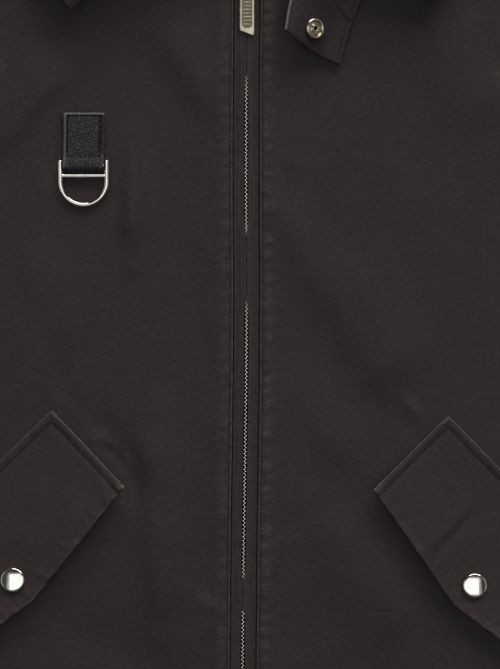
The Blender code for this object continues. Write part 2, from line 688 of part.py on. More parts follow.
def make_leather_tab():
    """A leather strap folded round the ring's pin and sewn down: its side view, drawn out to its width."""
    bore = PIN_RADIUS + PIN_CLEARANCE
    outer = bore + LEATHER
    low = [(TAB_LENGTH, -outer), (12, -outer)]
    turn = [(outer * math.cos(a), outer * math.sin(a)) for a in np.linspace(1.5 * math.pi, 0.5 * math.pi, 13)]
    high = [(along, outer - drop) for along, drop in TAB_DROPS + [(TAB_LENGTH, TAB_DROPS[-1][1])]]
    hole = [(bore * math.cos(a), bore * math.sin(a)) for a in np.linspace(0, 2 * math.pi, 17)[:-1]]
    curve = bpy.data.curves.new("ring_tab", "CURVE")
    curve.dimensions = "2D"
    curve.fill_mode = "BOTH"
    curve.extrude = TAB_WIDTH / 2 * MM
    for loop in (low + turn + high, hole):
        line = curve.splines.new("POLY")
        line.points.add(len(loop) - 1)
        line.use_cyclic_u = True
        for point, (x, y) in zip(line.points, loop):
            point.co = (x * MM, y * MM, 0, 1)
    obj = bpy.data.objects.new("ring_tab", curve)
    gilet.objects.link(obj)
    obj.data.materials.append(leather())
    lengthwise = Matrix(((0, 0, 1, 0), (1, 0, 0, 0), (0, 1, 0, 0), (0, 0, 0, 1)))
    obj.matrix_world = Matrix.Translation(Vector((RING_X, RING_AXIS_Y, RING_AXIS_Z)) * MM) @ lengthwise


def make_ring():
    """A wire bent to a D, with its pin through the leather and a cross bar, about the pin's axis."""
    reach = RING_HALF - RING_ARC_CENTRE
    foot = front_top(RING_X, RING_FOOT_Y) + RING_WIRE + 0.5
    slope = math.asin((RING_AXIS_Z - foot) / reach)
    turn = np.linspace(0, -math.pi, 17)
    arc = [(RING_HALF * math.cos(a), RING_ARC_CENTRE + RING_HALF * math.sin(a)) for a in turn]
    path = [(RING_HALF, RING_LEG_TOP), (RING_HALF, 0.0)] + arc + [(-RING_HALF, 0.0), (-RING_HALF, RING_LEG_TOP)]
    wire = plain_mesh(tube("ring", [(x, y, 0) for x, y in path], RING_WIRE, nickel()))
    pin = plain_mesh(tube("pin", [(-RING_HALF, 0, 0), (RING_HALF, 0, 0)], PIN_RADIUS, nickel()))
    bar = plain_mesh(tube("bar", [(-RING_HALF, RING_BAR, 0), (RING_HALF, RING_BAR, 0)], PIN_RADIUS, nickel()))
    ring = joined(wire, pin, bar)
    ring.name = "ring"
    ring.data.materials.append(nickel())
    ring.location = Vector((RING_X, RING_AXIS_Y, RING_AXIS_Z)) * MM
    ring.rotation_euler = (slope, 0, 0)


# ---------------------------------------------------------------- collar
def collar_half(side):
    """One side's sections, from the front to the middle of the back."""
    half = []
    for k, row in enumerate(COLLAR):
        placed = {}
        for key, (x, y, z) in row.items():
            share = TIP_SHARES.get((k, key), 0.0)
            dx, dy = TIP_SLIP[side]
            placed[key] = (side * x + share * dx, y + share * dy, z or front_top(side * x, y) + 1.5)
        half.append(placed)
    return half


def collar_rows(count):
    """Sections of the collar from the wearer's right front, round the back, to the wearer's left front."""
    rows = collar_half(-1)[:-1] + collar_half(1)[::-1]
    keys = ("seam", "roll", "fall", "edge")
    smoothed = {key: spline([row[key] for row in rows], count) for key in keys}
    return [{key: Vector(smoothed[key][i]) for key in keys} for i in range(count)]


def collar_section(row):
    """Middle line of the stand, from its foot up, and of the leaf, from its seam over the fold to its edge."""
    up = (row["roll"] - row["seam"]).normalized()
    out = row["fall"] - row["roll"]
    out = (out - up * out.dot(up)).normalized()
    fold = row["roll"]
    centre = fold + out * FOLD_RADIUS
    arc = [centre + FOLD_RADIUS * (up * math.sin(a) - out * math.cos(a)) for a in np.radians((40, 80, 125))]
    seam_end = fold - up * (LEAF_START + 0.9)
    stand = [row["seam"] + (seam_end - row["seam"]) * s for s in (0, 0.33, 0.67, 1)]
    fall = spline([arc[-1], row["fall"], row["edge"]], 7)
    leaf = [fold - up * LEAF_START, fold] + arc + [Vector(p) for p in fall[1:]]
    return stand, leaf


def make_collar():
    sections = [collar_section(row) for row in collar_rows(49)]
    stand = [[tuple(p) for p in section[0]] for section in sections]
    leaf = [[tuple(p) for p in section[1]] for section in sections]
    wall("collar_stand", stand, COLLAR_CLOTH - 0.2, waxed_cotton(), offset=0)
    wall("collar_leaf", leaf, COLLAR_CLOTH, waxed_cotton(), offset=0)


# ---------------------------------------------------------------- throat tab
def tab_point(row, share):
    """A point across the throat tab: share 0 at its right edge, 1 at its left."""
    lx, ly, lh, rx, ry, rh = row
    x, y = rx + (lx - rx) * share, ry + (ly - ry) * share
    return x, y, front_top(x, y) + rh + (lh - rh) * smooth((share - TAB_FLAT) / TAB_RAMP)


def throat_rows(count):
    return [tuple(row) for row in spline(TAB_EDGES, count)]


def make_throat_tab():
    shares = (0.0, 0.15, 0.3, 0.45, 0.6, 0.72, 0.84, 0.93, 1.0)
    grid = [[tab_point(row, s) for s in shares][::-1] for row in throat_rows(11)]
    wall("throat_tab", grid, FLAP_CLOTH, waxed_cotton(), offset=1)


def throat_snap():
    """Top of the tab and its normal at the snap."""
    rows = throat_rows(41)
    near = min(((r, s) for r in rows for s in np.linspace(0.2, 0.9, 36)),
               key=lambda c: math.hypot(tab_point(*c)[0] - THROAT_SNAP[0], tab_point(*c)[1] - THROAT_SNAP[1]))
    row, share = near
    after = rows[rows.index(row) + 3]
    here, over, up = (Vector(tab_point(*c)) for c in ((row, share), (row, share - 0.08), (after, share)))
    normal = (over - here).cross(up - here).normalized()
    if normal.z < 0:
        normal.negate()
    return here + normal * FLAP_CLOTH, normal


def make_throat_snap():
    top, normal = throat_snap()
    r = SOCKET_RADIUS
    socket = [
        (0, 0.5), (1.3, 0.5), (1.5, 1.5), (2.3, 1.7), (2.9, 1.1), (3.9, 1.0), (4.5, 1.9), (5.6, 2.1),
        (r, 1.3), (r, 0.2), (0.95 * r, 0), (0, 0),
    ]
    turned("throat_snap_socket", socket, facing(top + normal * 0.6, normal), brass())
    cap = [(0, 0), (0.96 * r, 0), (r, -0.5), (0.8 * r, -1.4), (0.4 * r, -1.8), (0, -1.9)]
    turned("throat_snap_cap", cap, facing(top - normal * (FLAP_CLOTH + 0.4), normal), brass())


# ---------------------------------------------------------------- assembly
for thing in list(bpy.data.objects):
    bpy.data.objects.remove(thing)
gilet = bpy.data.collections.new("gilet")
bpy.context.scene.collection.children.link(gilet)

make_back()
make_fronts()
make_strips()
make_chain()
make_end_box()
make_slider()
make_pull()
make_flaps()
make_snaps()
make_leather_tab()
make_ring()
make_collar()
make_throat_tab()
make_throat_snap()
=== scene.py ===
"""The looks of a waxed-cotton zip gilet, laid flat with its front up.

Lengths are in millimetres until a mesh is made.
"""

import json
import math

import bmesh
import bpy
import numpy as np
from mathutils import Matrix, Vector, noise


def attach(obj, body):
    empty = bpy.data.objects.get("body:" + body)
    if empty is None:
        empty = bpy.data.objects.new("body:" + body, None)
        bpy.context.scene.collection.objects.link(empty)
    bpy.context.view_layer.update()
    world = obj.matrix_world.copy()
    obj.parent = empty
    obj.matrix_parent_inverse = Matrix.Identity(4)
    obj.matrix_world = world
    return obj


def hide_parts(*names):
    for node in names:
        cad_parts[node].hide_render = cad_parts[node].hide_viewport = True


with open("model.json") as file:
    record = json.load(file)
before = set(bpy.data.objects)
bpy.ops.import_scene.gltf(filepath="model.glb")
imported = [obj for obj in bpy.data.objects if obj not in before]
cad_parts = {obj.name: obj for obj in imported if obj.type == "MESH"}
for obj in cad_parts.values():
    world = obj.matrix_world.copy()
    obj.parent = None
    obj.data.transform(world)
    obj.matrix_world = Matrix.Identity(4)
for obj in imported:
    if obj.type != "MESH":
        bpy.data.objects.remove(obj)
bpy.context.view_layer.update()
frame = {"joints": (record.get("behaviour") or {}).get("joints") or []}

MM = 0.001
BODY, PULL_BODY, RING_BODY = "garment", "pull", "d_ring"

# The garment's sizes, as its solids have them
HEM_Y, SHOULDER_Y, NECK_Y = -345.0, 315.0, 220.0
UNDERARM_Y = 45.0
NECK_POINT, SHOULDER_TIP = (80.0, SHOULDER_Y), (203.0, 271.0)
SIDE_FOOT, UNDERARM = (270.0, HEM_Y), (276.0, UNDERARM_Y)
CLOTH, FLAP_CLOTH, COLLAR_CLOTH, STRIP_CLOTH = 1.5, 2.0, 2.2, 1.2
FRONT_REST, FRONT_EDGE_TOP, ZIP_RISE_WIDTH, FRONT_CROWN = 5.0, 7.0, 34.0, 0.5
EDGE_ROLL, BACK_CURL, BACK_CURL_WIDTH, BACK_LIFT = 14.0, 1.5, 9.0, 2.9
EDGE_LAP = 1.8
ZIP_EDGE, STRIP_UNDERLAP = 8.0, 6.0
STRIP_LOW, STRIP_RISE, STRIP_DIP = 5.0, 1.4, 0.9
CHAIN_Z, CHAIN_THICK = 2.6, 2.2
FLAP_LENGTH, FLAP_DEPTH = 172.0, 63.8
SNAP_FROM_POINT, CAP_RADIUS, CAP_HEIGHT = 17.0, 7.7, 3.0
RING_X, RING_FOOT_Y, CALM_Y = -98.4, 71.0, 98.0
RING_WIRE, RING_HALF, RING_LEG_TOP, RING_BAR, RING_ARC_CENTRE = 1.55, 14.05, 3.0, -6.2, -9.7
PIN_RADIUS, PIN_CLEARANCE, LEATHER = 1.3, 0.4, 1.6
TAB_WIDTH, TAB_LENGTH = 24.6, 32.0
THROAT_SNAP, SOCKET_RADIUS = (39.8, 175.3), 6.6
FLAP_PLACES = {
    "left": {
        "corner": (122.6, -57.9), "slope": 45.8, "side": 1, "point_at": 84.2, "point": 13.8, "lift": 6.8,
    },
    "right": {
        "corner": (-117.6, -54.6), "slope": 44.1, "side": -1, "point_at": 87.8, "point": 10.8, "lift": 8.8,
    },
}
NECK_RISE, NECK_RISE_FROM, NECK_RISE_LENGTH = 1.6, 150.0, 110.0  # the fronts rise towards the collar
BACK_LIFT_FROM, BACK_LIFT_LENGTH, BACK_LIFT_HALF, BACK_LIFT_FADE = 212.0, 58.0, 140.0, 45.0
ZIP_FOLD_SHARE, ZIP_FOLD_FADE = 0.15, 26.0  # the zip keeps the folds beside it low
CALM_SQUASH, CALM_RADIUS, CALM_FADE = 0.8, 18.0, 26.0  # the cloth lies flat under the ring and its tab

# Sewing
STITCH_PITCH, STITCH_LENGTH, THREAD = 2.65, 1.75, 0.55
ZIP_STITCH_INSET, FLAP_STITCH_INSET, ARMHOLE_STITCH_INSET = 2.0, 5.4, 9.0
COLLAR_STITCH_INSET, TAB_STITCH_INSET, HEM_STITCH_HEIGHT = 6.0, 2.6, 18.0

ZIP_SWAY = [  # y, how far the zip lies from the middle
    (-345, -1.0), (-210, -2.1), (-144, -1.5), (-35, 0.1), (19, 0.4), (74, 0.0), (128, 0.1), (195, 0.7),
    (225, 0.5),
]
SWAY_FADE = 60.0
STRIP_GAP = [  # y, half the gap between the zip's two strips
    (-345, 4.9), (-331, 4.9), (-318, 1.18), (-180, 1.18), (-176, 0.03), (-158, 0.03), (-150, 1.18), (2, 1.18),
    (12, 0.03), (52, 0.03), (60, 1.18), (132, 1.15), (142, 0.7), (149, 0.03), (174, 0.03), (196, 4.2),
    (199, 5.3), (213, 5.3), (220, 4.6),
]
# The main soft folds, as in the solids
FOLDS = [  # x0, y0, x1, y1, widths of the left and right flanks, height
    (-55, 185, -12, 120, 20, 12, 2.5),
    (-73, 110, -68, 34, 10, 8, 3.2),
    (-165, 95, -104, 158, 28, 12, 3.4),
    (-88, -66, -58, -109, 9, 9, -2.0),
    (-60, -60, -50, -190, 16, 10, 3.0),
    (-28, 12, -24, -40, 8, 7, -0.8),
    (-113, -185, -52, -212, 16, 14, -1.2),
    (-110, 22, -104, -34, 13, 10, 0.9),
    (6, 122, 24, 92, 8, 7, 0.9),
    (10, 103, 45, 90, 8, 6, 0.8),
    (10, 78, 96, -50, 15, 14, 2.5),
    (10, 80, 27, 55, 7, 8, 1.2),
    (24, 30, 88, -68, 9, 14, -0.6),
    (75, -46, 95, -66, 5, 7, -0.9),
    (33, -49, 72, -95, 14, 12, 1.5),
    (44, -112, 101, -200, 14, 20, 2.3),
    (108, 200, 146, 108, 24, 20, 3.2),
    (-255, 20, -165, 75, 16, 13, 1.9),
    (-262, -40, -185, -5, 15, 12, 1.5),
    (258, 14, 172, 62, 12, 15, 1.8),
    (260, -50, 190, -20, 13, 16, 1.6),
    (-62, -245, -68, -345, 18, 15, 1.8),
    (-142, -262, -136, -345, 20, 16, 2.1),
    (-216, -250, -224, -345, 14, 18, 1.7),
    (56, -238, 64, -345, 15, 17, 1.7),
    (128, -250, 140, -345, 19, 16, 2.1),
    (212, -262, 220, -345, 15, 19, 1.8),
    (-165, 262, -150, 190, 15, 12, 1.6),
    (160, 264, 152, 184, 13, 16, 1.6),
]
FOLD_FADE, FOLD_END = 28.0, 0.35  # over its last part a fold sinks to this share
# Smaller creases, sharper than the folds
CREASES = [  # x0, y0, x1, y1, half width, height
    (-96, -68, -79, -78, 3.2, 0.75), (-79, -78, -66, -94, 3.2, 0.7), (-90, -72, -72, -90, 2.6, -0.6),
    (-115, -47.5, -114, -49.5, 4.0, 1.4), (-106, -44, -100, -56, 3.0, -0.45), (89, -46, 101, -72, 3.6, -0.6),
    (94, -47, 108, -61, 2.8, 0.7), (-31, -165, -14.5, -178.5, 4.0, 0.6), (-19, -176, -12, -187, 2.4, -0.3),
    (14, 91, 21, 84, 3.0, 0.25), (13, -20, 20, -34, 3.2, 0.3), (-19, -96, -13, -110, 3.0, 0.3),
    (13, -128, 21, -140, 3.2, 0.3), (-20, 40, -13, 28, 3.0, 0.25), (-125, 88, -114, 74, 4.0, 0.4),
    (-84, 70, -76, 58, 4.0, 0.35), (150, 150, 170, 120, 5.0, 0.6), (-150, 160, -172, 130, 5.0, 0.6),
    (180, 20, 210, 0, 6.0, 0.6), (-185, 30, -215, 8, 6.0, 0.6), (200, -120, 232, -150, 6.0, 0.7),
    (-205, -118, -236, -140, 6.0, 0.7), (90, -290, 96, -330, 6.0, 0.6), (-96, -285, -104, -335, 6.0, 0.7),
    (180, -270, 186, -325, 6.0, 0.6), (-30, -290, -36, -335, 5.0, 0.5), (26, -285, 30, -338, 5.0, 0.5),
]
# Soft waves of the cloth beside the folds, that die away at their ends
SWELLS = [  # as CREASES
    (-58, 188, -24, 118, 15.0, 0.9), (56, 48, 108, -46, 16.0, 2.2), (-77, 122, -68, 40, 8.0, 1.4),
    (-72, -74, -56, -134, 11.0, -1.0), (16, 42, 96, -80, 10.0, 0.5), (20, 130, 40, 96, 10.0, 0.8),
    (-140, 60, -120, 0, 12.0, 1.0),
]
SWELL_FADE = 34.0
# The collar's section at nine stations, from its point round to the middle of the back: x, y and height of
# its seam, its roll, the middle of its fall and its edge. A height of 0 lies on the front.
COLLAR = [
    {"seam": (6, 222.5, 0), "roll": (29, 246, 35), "fall": (68, 226, 34), "edge": (110, 190, 20)},
    {"seam": (31, 230, 0), "roll": (45, 257, 38.5), "fall": (85, 243, 34.5), "edge": (129, 215, 19.5)},
    {"seam": (56, 251, 0), "roll": (57, 275, 41), "fall": (98, 268, 32.5), "edge": (143, 246, 18.5)},
    {"seam": (71.5, 281, 0), "roll": (64, 297, 42), "fall": (103, 292, 32), "edge": (146, 277, 16)},
    {"seam": (78, 304, 0), "roll": (68, 316, 39), "fall": (100, 315, 28.5), "edge": (133, 303, 9)},
    {"seam": (74, 315.5, 7.6), "roll": (65, 331, 27.5), "fall": (88, 327, 9.5), "edge": (108, 306, 2.2)},
    {"seam": (57, 312, 5.0), "roll": (50, 338, 14), "fall": (60, 329, 2.4), "edge": (74, 290, 1.3)},
    {"seam": (30, 308.5, 4.0), "roll": (27, 340.3, 8.5), "fall": (31, 326, 1.7), "edge": (37, 284, 1.2)},
    {"seam": (0, 307, 3.8), "roll": (0, 340.3, 7.6), "fall": (0, 326, 1.6), "edge": (0, 282, 1.2)},
]
COLLAR_KEYS = ("seam", "roll", "fall", "edge")
FOLD_RADIUS, LEAF_START = 3.2, 4.0
TIP_SLIP = {1: (2.8, -0.8), -1: (5.1, -4.6)}  # how far the left and the right point have slipped
TIP_SHARES = {(0, "edge"): 1.0, (0, "fall"): 0.4, (1, "edge"): 0.45}
TAB_EDGES = [  # left edge x, y, height over the chest; right edge x, y, height over the chest
    (23.2, 173.5, 16.5, 56.8, 153.8, 2.4), (24.0, 179.3, 15.6, 59.4, 163.0, 2.0),
    (25.4, 187.5, 14.4, 62.6, 174.2, 1.8), (27.8, 198.0, 12.0, 66.8, 185.5, 1.8),
    (31.8, 210.0, 9.0, 71.8, 198.0, 2.2), (36.5, 221.0, 6.0, 77.0, 211.0, 3.0),
    (40.0, 232.0, 3.6, 84.0, 226.0, 4.0),
]
# The throat tab lies flat over the first share of its width, then rises over the other
TAB_FLAT, TAB_RAMP = 0.18, 0.78


# ---------------------------------------------------------------- curves and heights
def smooth(t):
    """0 below 0, 1 above 1, and a soft step between them."""
    t = np.clip(t, 0.0, 1.0)
    return t * t * (3 - 2 * t)


def bell(distance, width):
    """1 where the distance is 0, dying away over the width on both sides."""
    return np.exp(-((distance / width) ** 2))


def decay(distance, width):
    """1 where the distance is 0, dying away over the width."""
    return np.exp(-(distance / width))


def spline_at(points, shares):
    """Points at shares 0 to 1 of a smooth curve through the given ones, each given one at an even share."""
    p = np.array(points, float)
    p = np.vstack([2 * p[0] - p[1], p, 2 * p[-1] - p[-2]])
    t = np.asarray(shares, float) * (len(points) - 1)
    i = np.minimum(t.astype(int), len(points) - 2)
    f = (t - i)[:, None]
    a, b, c, d = p[i], p[i + 1], p[i + 2], p[i + 3]
    return 0.5 * (2 * b + (c - a) * f + (2 * a - 5 * b + 4 * c - d) * f**2 + (3 * b - a - 3 * c + d) * f**3)


def spline(points, count):
    return spline_at(points, np.linspace(0, 1, count))


def segment(x, y, a, b):
    """Signed distance of points from the segment a-b, and how far they are along it from its nearer end."""
    dx, dy = b[0] - a[0], b[1] - a[1]
    length = math.hypot(dx, dy)
    along = ((x - a[0]) * dx + (y - a[1]) * dy) / length
    held = np.clip(along, 0, length)
    away = np.hypot(x - a[0] - dx * held / length, y - a[1] - dy * held / length)
    side = np.sign((x - a[0]) * dy - (y - a[1]) * dx)
    return away * side, np.minimum(held, length - held)


def table_at(table, y):
    return np.interp(y, [row[0] for row in table], [row[1] for row in table])


def swayed(x, y):
    """x moved aside with the zip, less so further from it."""
    return x + table_at(ZIP_SWAY, y) * decay(np.abs(x), SWAY_FADE)


def rounded(distance, width):
    """A quarter circle's height, 0 at an edge and 1 from the width inwards."""
    t = np.clip(distance / width, 0.0, 1.0)
    return np.sqrt(1 - (1 - t) ** 2)


def lumps(x, y, height, size, seed):
    """Smooth noise of about plus or minus the height, its lumps size millimetres across."""
    flat = [noise.noise(Vector((a / size, b / size, seed))) for a, b in zip(x.ravel(), y.ravel())]
    return height * np.array(flat).reshape(x.shape)


def folds_at(x, y):
    total = np.zeros_like(x)
    for x0, y0, x1, y1, left, right, height in FOLDS:
        away, inside = segment(x, y, (x0, y0), (x1, y1))
        width = np.where(away > 0, right, left)
        total += height * bell(away, width) * (FOLD_END + (1 - FOLD_END) * smooth(inside / FOLD_FADE))
    return total


STEEP_SIDE, GENTLE_SIDE = 0.75, 1.3  # shares of a crease's half width on its two sides


def creases_at(x, y, rows, least=0.3, fade=8.0, steep=STEEP_SIDE, gentle=GENTLE_SIDE):
    """Small creases, each a little steeper on one side. Towards their ends they sink to the least share."""
    total = np.zeros_like(x)
    for x0, y0, x1, y1, half_width, height in rows:
        away, inside = segment(x, y, (x0, y0), (x1, y1))
        width = np.where(away > 0, half_width * steep, half_width * gentle)
        total += height * bell(away, width) * (least + (1 - least) * smooth(inside / fade))
    return total


def back_lift(x, y):
    """The back rises a little under the collar, between the shoulders."""
    beyond = (np.abs(x) - BACK_LIFT_HALF) / BACK_LIFT_FADE
    return BACK_LIFT * smooth((y - BACK_LIFT_FROM) / BACK_LIFT_LENGTH) * (1 - smooth(beyond))


def calm(x, y):
    """0 under the ring and its tab, and 1 away from them."""
    from_ring = np.hypot(x - RING_X, (y - CALM_Y) * CALM_SQUASH)
    return smooth((from_ring - CALM_RADIUS) / CALM_FADE)


def rim_distances(x, y):
    """Distances of points from the side seam and from the shoulder seam."""
    side, _ = segment(np.abs(x), y, SIDE_FOOT, UNDERARM)
    shoulder, _ = segment(np.abs(x), y, NECK_POINT, SHOULDER_TIP)
    return np.abs(side), np.abs(shoulder)


def front_top(x, y):
    """Height of a front panel's outer face, as the solids have it."""
    x, y = np.asarray(x, float), np.asarray(y, float)
    from_zip = np.abs(x) - ZIP_EDGE
    side, shoulder = rim_distances(x, y)
    crown = FRONT_CROWN * np.sin(np.pi * np.minimum(np.abs(x) / UNDERARM[0], 1.0))
    neck = NECK_RISE * smooth((y - NECK_RISE_FROM) / NECK_RISE_LENGTH)
    rise = (FRONT_EDGE_TOP - FRONT_REST) * (1 - smooth(from_zip / ZIP_RISE_WIDTH))
    beside_zip = ZIP_FOLD_SHARE + (1 - ZIP_FOLD_SHARE) * smooth(from_zip / ZIP_FOLD_FADE)
    folds = folds_at(x, y) * calm(x, y) * beside_zip
    full = FRONT_REST + rise + crown + neck + folds + back_lift(x, y)
    foot = back_lift(x, y) + BACK_CURL + CLOTH + EDGE_LAP
    return foot + (full - foot) * rounded(side, EDGE_ROLL) * rounded(shoulder, EDGE_ROLL)


def groove(distance, depth, half_width=0.75):
    """A stitched line pulls the cloth in over this far."""
    return -depth * bell(distance, half_width)


def border(from_edge, inset, height, fade, roll):
    """The turned edge outside a stitched line stands higher, and rolls down to the edge itself."""
    return height * (1 - smooth((from_edge - inset) / fade)) * smooth(from_edge / roll)


# The facing inside the zip edge, felt through the front
FACING_EDGE, FACING_STEP, FACING_FADE = 17.5, 0.28, 3.0
PUCKER_FROM_ZIP, PUCKER_LENGTH, PUCKER_WIDTH = 12.8, 8.6, 3.6  # the stitching draws the cloth in by turns
PUCKER_HEIGHTS = {1: 0.42, -1: 0.28}  # on the wearer's left and right front


def puckers(x, y):
    """Small puffs of cloth just outside the zip's stitching, a little uneven."""
    phase = np.pi * (y + lumps(x * 0.3, y, height=7, size=30, seed=8.5)) / PUCKER_LENGTH
    puff = np.abs(np.cos(phase)) - 0.5 + lumps(x * 0.4, y, height=0.8, size=5, seed=9.5)
    return puff * bell(np.abs(x) - PUCKER_FROM_ZIP, PUCKER_WIDTH)


def front_skin(x, y):
    """front_top with the cloth's finer relief."""
    from_zip = np.abs(x) - ZIP_EDGE
    inland = smooth((from_zip - 1) / 9)
    relief = creases_at(x, y, CREASES) + creases_at(x, y, SWELLS, 0.0, SWELL_FADE)
    relief += lumps(x, y, height=0.22, size=34, seed=1.5) * inland
    relief += lumps(x, y, height=0.07, size=9, seed=4.5)
    relief += FACING_STEP * (1 - smooth((np.abs(x) - FACING_EDGE) / FACING_FADE))
    relief += np.where(x > 0, PUCKER_HEIGHTS[1], PUCKER_HEIGHTS[-1]) * puckers(x, y)
    relief += groove(from_zip - ZIP_STITCH_INSET, depth=0.32) - 0.35 * decay(from_zip, 0.6)
    return front_top(x, y) + relief * calm(x, y) ** 0.5


def back_bottom(x, y):
    """Height of the back's underside, which curls up a little at its rims."""
    side, shoulder = rim_distances(x, y)
    curl = 1 - smooth(side / BACK_CURL_WIDTH) * smooth(shoulder / BACK_CURL_WIDTH)
    return back_lift(x, y) + BACK_CURL * curl


# ---------------------------------------------------------------- materials
def linear(code):
    """An sRGB hex colour as linear RGBA."""
    parts = [int(code[i : i + 2], 16) / 255 for i in (1, 3, 5)]
    return tuple(c / 12.92 if c <= 0.04045 else ((c + 0.055) / 1.055) ** 2.4 for c in parts) + (1.0,)


def add_node(tree, kind, inputs=None, **settings):
    """A node with its settings, and its inputs as values or as sockets to link from."""
    node = tree.nodes.new(kind)
    for name, value in settings.items():
        setattr(node, name, value)
    for name, value in (inputs or {}).items():
        if isinstance(value, bpy.types.NodeSocket):
            tree.links.new(value, node.inputs[name])
        else:
            node.inputs[name].default_value = value
    return node


def new_material(name, **shader_values):
    """A Principled material, with the values that are the same all over set on the shader's own sockets."""
    material = bpy.data.materials.new(name)
    material.use_nodes = True
    tree = material.node_tree
    shader = tree.nodes["Principled BSDF"]
    for socket, value in shader_values.items():
        shader.inputs[socket.replace("_", " ")].default_value = value
    return material, tree, shader


def blend(tree, factor, a, b):
    """A mix of two colours, each a value or a socket."""
    mix = add_node(tree, "ShaderNodeMix", {"Factor": factor}, data_type="RGBA")
    for socket, value in zip(mix.inputs[6:8], (a, b)):
        if isinstance(value, bpy.types.NodeSocket):
            tree.links.new(value, socket)
        else:
            socket.default_value = value
    return mix.outputs[2]


def rescaled(tree, value, low, high, to_low=0.0, to_high=1.0):
    """value from low to high as a number from to_low to to_high."""
    ends = {"Value": value, "From Min": low, "From Max": high, "To Min": to_low, "To Max": to_high}
    return add_node(tree, "ShaderNodeMapRange", ends, clamp=True).outputs["Result"]


def ramp(tree, value, low, high, dark, light):
    """value from low to high as a blend from one hex colour to another."""
    return blend(tree, rescaled(tree, value, low, high), linear(dark), linear(light))


def maths(tree, operation, a, b=0.0):
    return add_node(tree, "ShaderNodeMath", {0: a, 1: b}, operation=operation).outputs[0]


def noise_at(tree, vector, size_mm, detail=3.0, roughness=0.55):
    """Noise whose lumps are about size_mm across."""
    looks = {"Vector": vector, "Scale": 1 / MM / size_mm / 2, "Detail": detail, "Roughness": roughness}
    return add_node(tree, "ShaderNodeTexNoise", looks).outputs["Fac"]


def object_place(tree):
    return add_node(tree, "ShaderNodeTexCoord").outputs["Object"]


def own_uv(tree):
    return add_node(tree, "ShaderNodeUVMap", uv_map="UVMap").outputs["UV"]


def painted(tree, name):
    """A value that the mesh carries at its points."""
    return add_node(tree, "ShaderNodeAttribute", attribute_name=name).outputs["Fac"]


def give(tree, shader, socket, value):
    tree.links.new(value, shader.inputs[socket])


def bump(tree, shader, height, distance, strength):
    """The surface's finest relief. The distance is in metres."""
    relief = add_node(tree, "ShaderNodeBump", {"Height": height, "Distance": distance, "Strength": strength})
    give(tree, shader, "Normal", relief.outputs[0])


def weave_height(tree, vector, spacing_mm):
    """Height of a plain weave: threads along and across in turn over and under each other."""
    turns = {0: vector, "Scale": math.pi / (spacing_mm * MM)}
    scaled = add_node(tree, "ShaderNodeVectorMath", turns, operation="SCALE")
    xyz = add_node(tree, "ShaderNodeSeparateXYZ", {0: scaled.outputs[0]})
    warp = maths(tree, "SINE", xyz.outputs[0])
    weft = maths(tree, "SINE", xyz.outputs[1])
    over = maths(tree, "MULTIPLY", warp, weft)
    ridges = maths(tree, "ADD", maths(tree, "ABSOLUTE", warp), maths(tree, "ABSOLUTE", weft))
    return maths(tree, "ADD", maths(tree, "MULTIPLY", over, 0.5), maths(tree, "MULTIPLY", ridges, 0.25))


THREAD_SPACING, TAPE_SPACING = 0.55, 0.7  # the real weave is nearer 0.4 mm, too fine to show


def waxed_cotton():
    """Dense brown-black cotton, brushed with wax: matt, faintly mottled, paler where edges have rubbed and
    where highlights are painted on edges, folds, creases and puckers.
    """
    m, tree, shader = new_material("waxed_cotton", Roughness=0.62, Specular_IOR_Level=0.32,
                                   Sheen_Weight=0.10, Sheen_Roughness=0.5, Sheen_Tint=linear("#c0a7a8"))
    uv = own_uv(tree)
    cloudy = noise_at(tree, uv, 55, detail=2.0)
    blotch = noise_at(tree, uv, 9, detail=3.0)
    nap = noise_at(tree, uv, 1.3, detail=4.0, roughness=0.7)
    base = ramp(tree, cloudy, 0.35, 0.65, "#352a2a", "#3e3232")
    base = blend(tree, 0.30, base, ramp(tree, blotch, 0.3, 0.7, "#2f2525", "#483a3a"))
    base = blend(tree, 0.50, base, ramp(tree, nap, 0.3, 0.7, "#271e1e", "#4f4141"))
    # The blend towards the pale #968a87 is partly rubbed wax and partly painted highlight
    highlight_and_wear = maths(tree, "MULTIPLY", painted(tree, "painted_light_and_wear"), rescaled(tree, nap, 0.3, 0.6))
    give(tree, shader, "Base Color", blend(tree, highlight_and_wear, base, linear("#968a87")))
    weave = maths(tree, "MULTIPLY", weave_height(tree, uv, THREAD_SPACING), 0.05)
    height = maths(tree, "ADD", weave, maths(tree, "MULTIPLY", nap, 0.21))
    height = maths(tree, "ADD", height, maths(tree, "MULTIPLY", noise_at(tree, uv, 5, detail=2.0), 0.16))
    bump(tree, shader, height, distance=0.0006, strength=0.6)
    return m


def thread(name, roughness, shine, dark, light, fibre_mm=0.4, relief=0.0):
    """A sewing thread whose fibres are a little lighter and darker."""
    m, tree, shader = new_material(name, Roughness=roughness, Specular_IOR_Level=shine)
    fibre = noise_at(tree, object_place(tree), fibre_mm, detail=2.0)
    give(tree, shader, "Base Color", ramp(tree, fibre, 0.3, 0.7, dark, light))
    if relief:
        bump(tree, shader, fibre, distance=relief, strength=0.5)
    return m


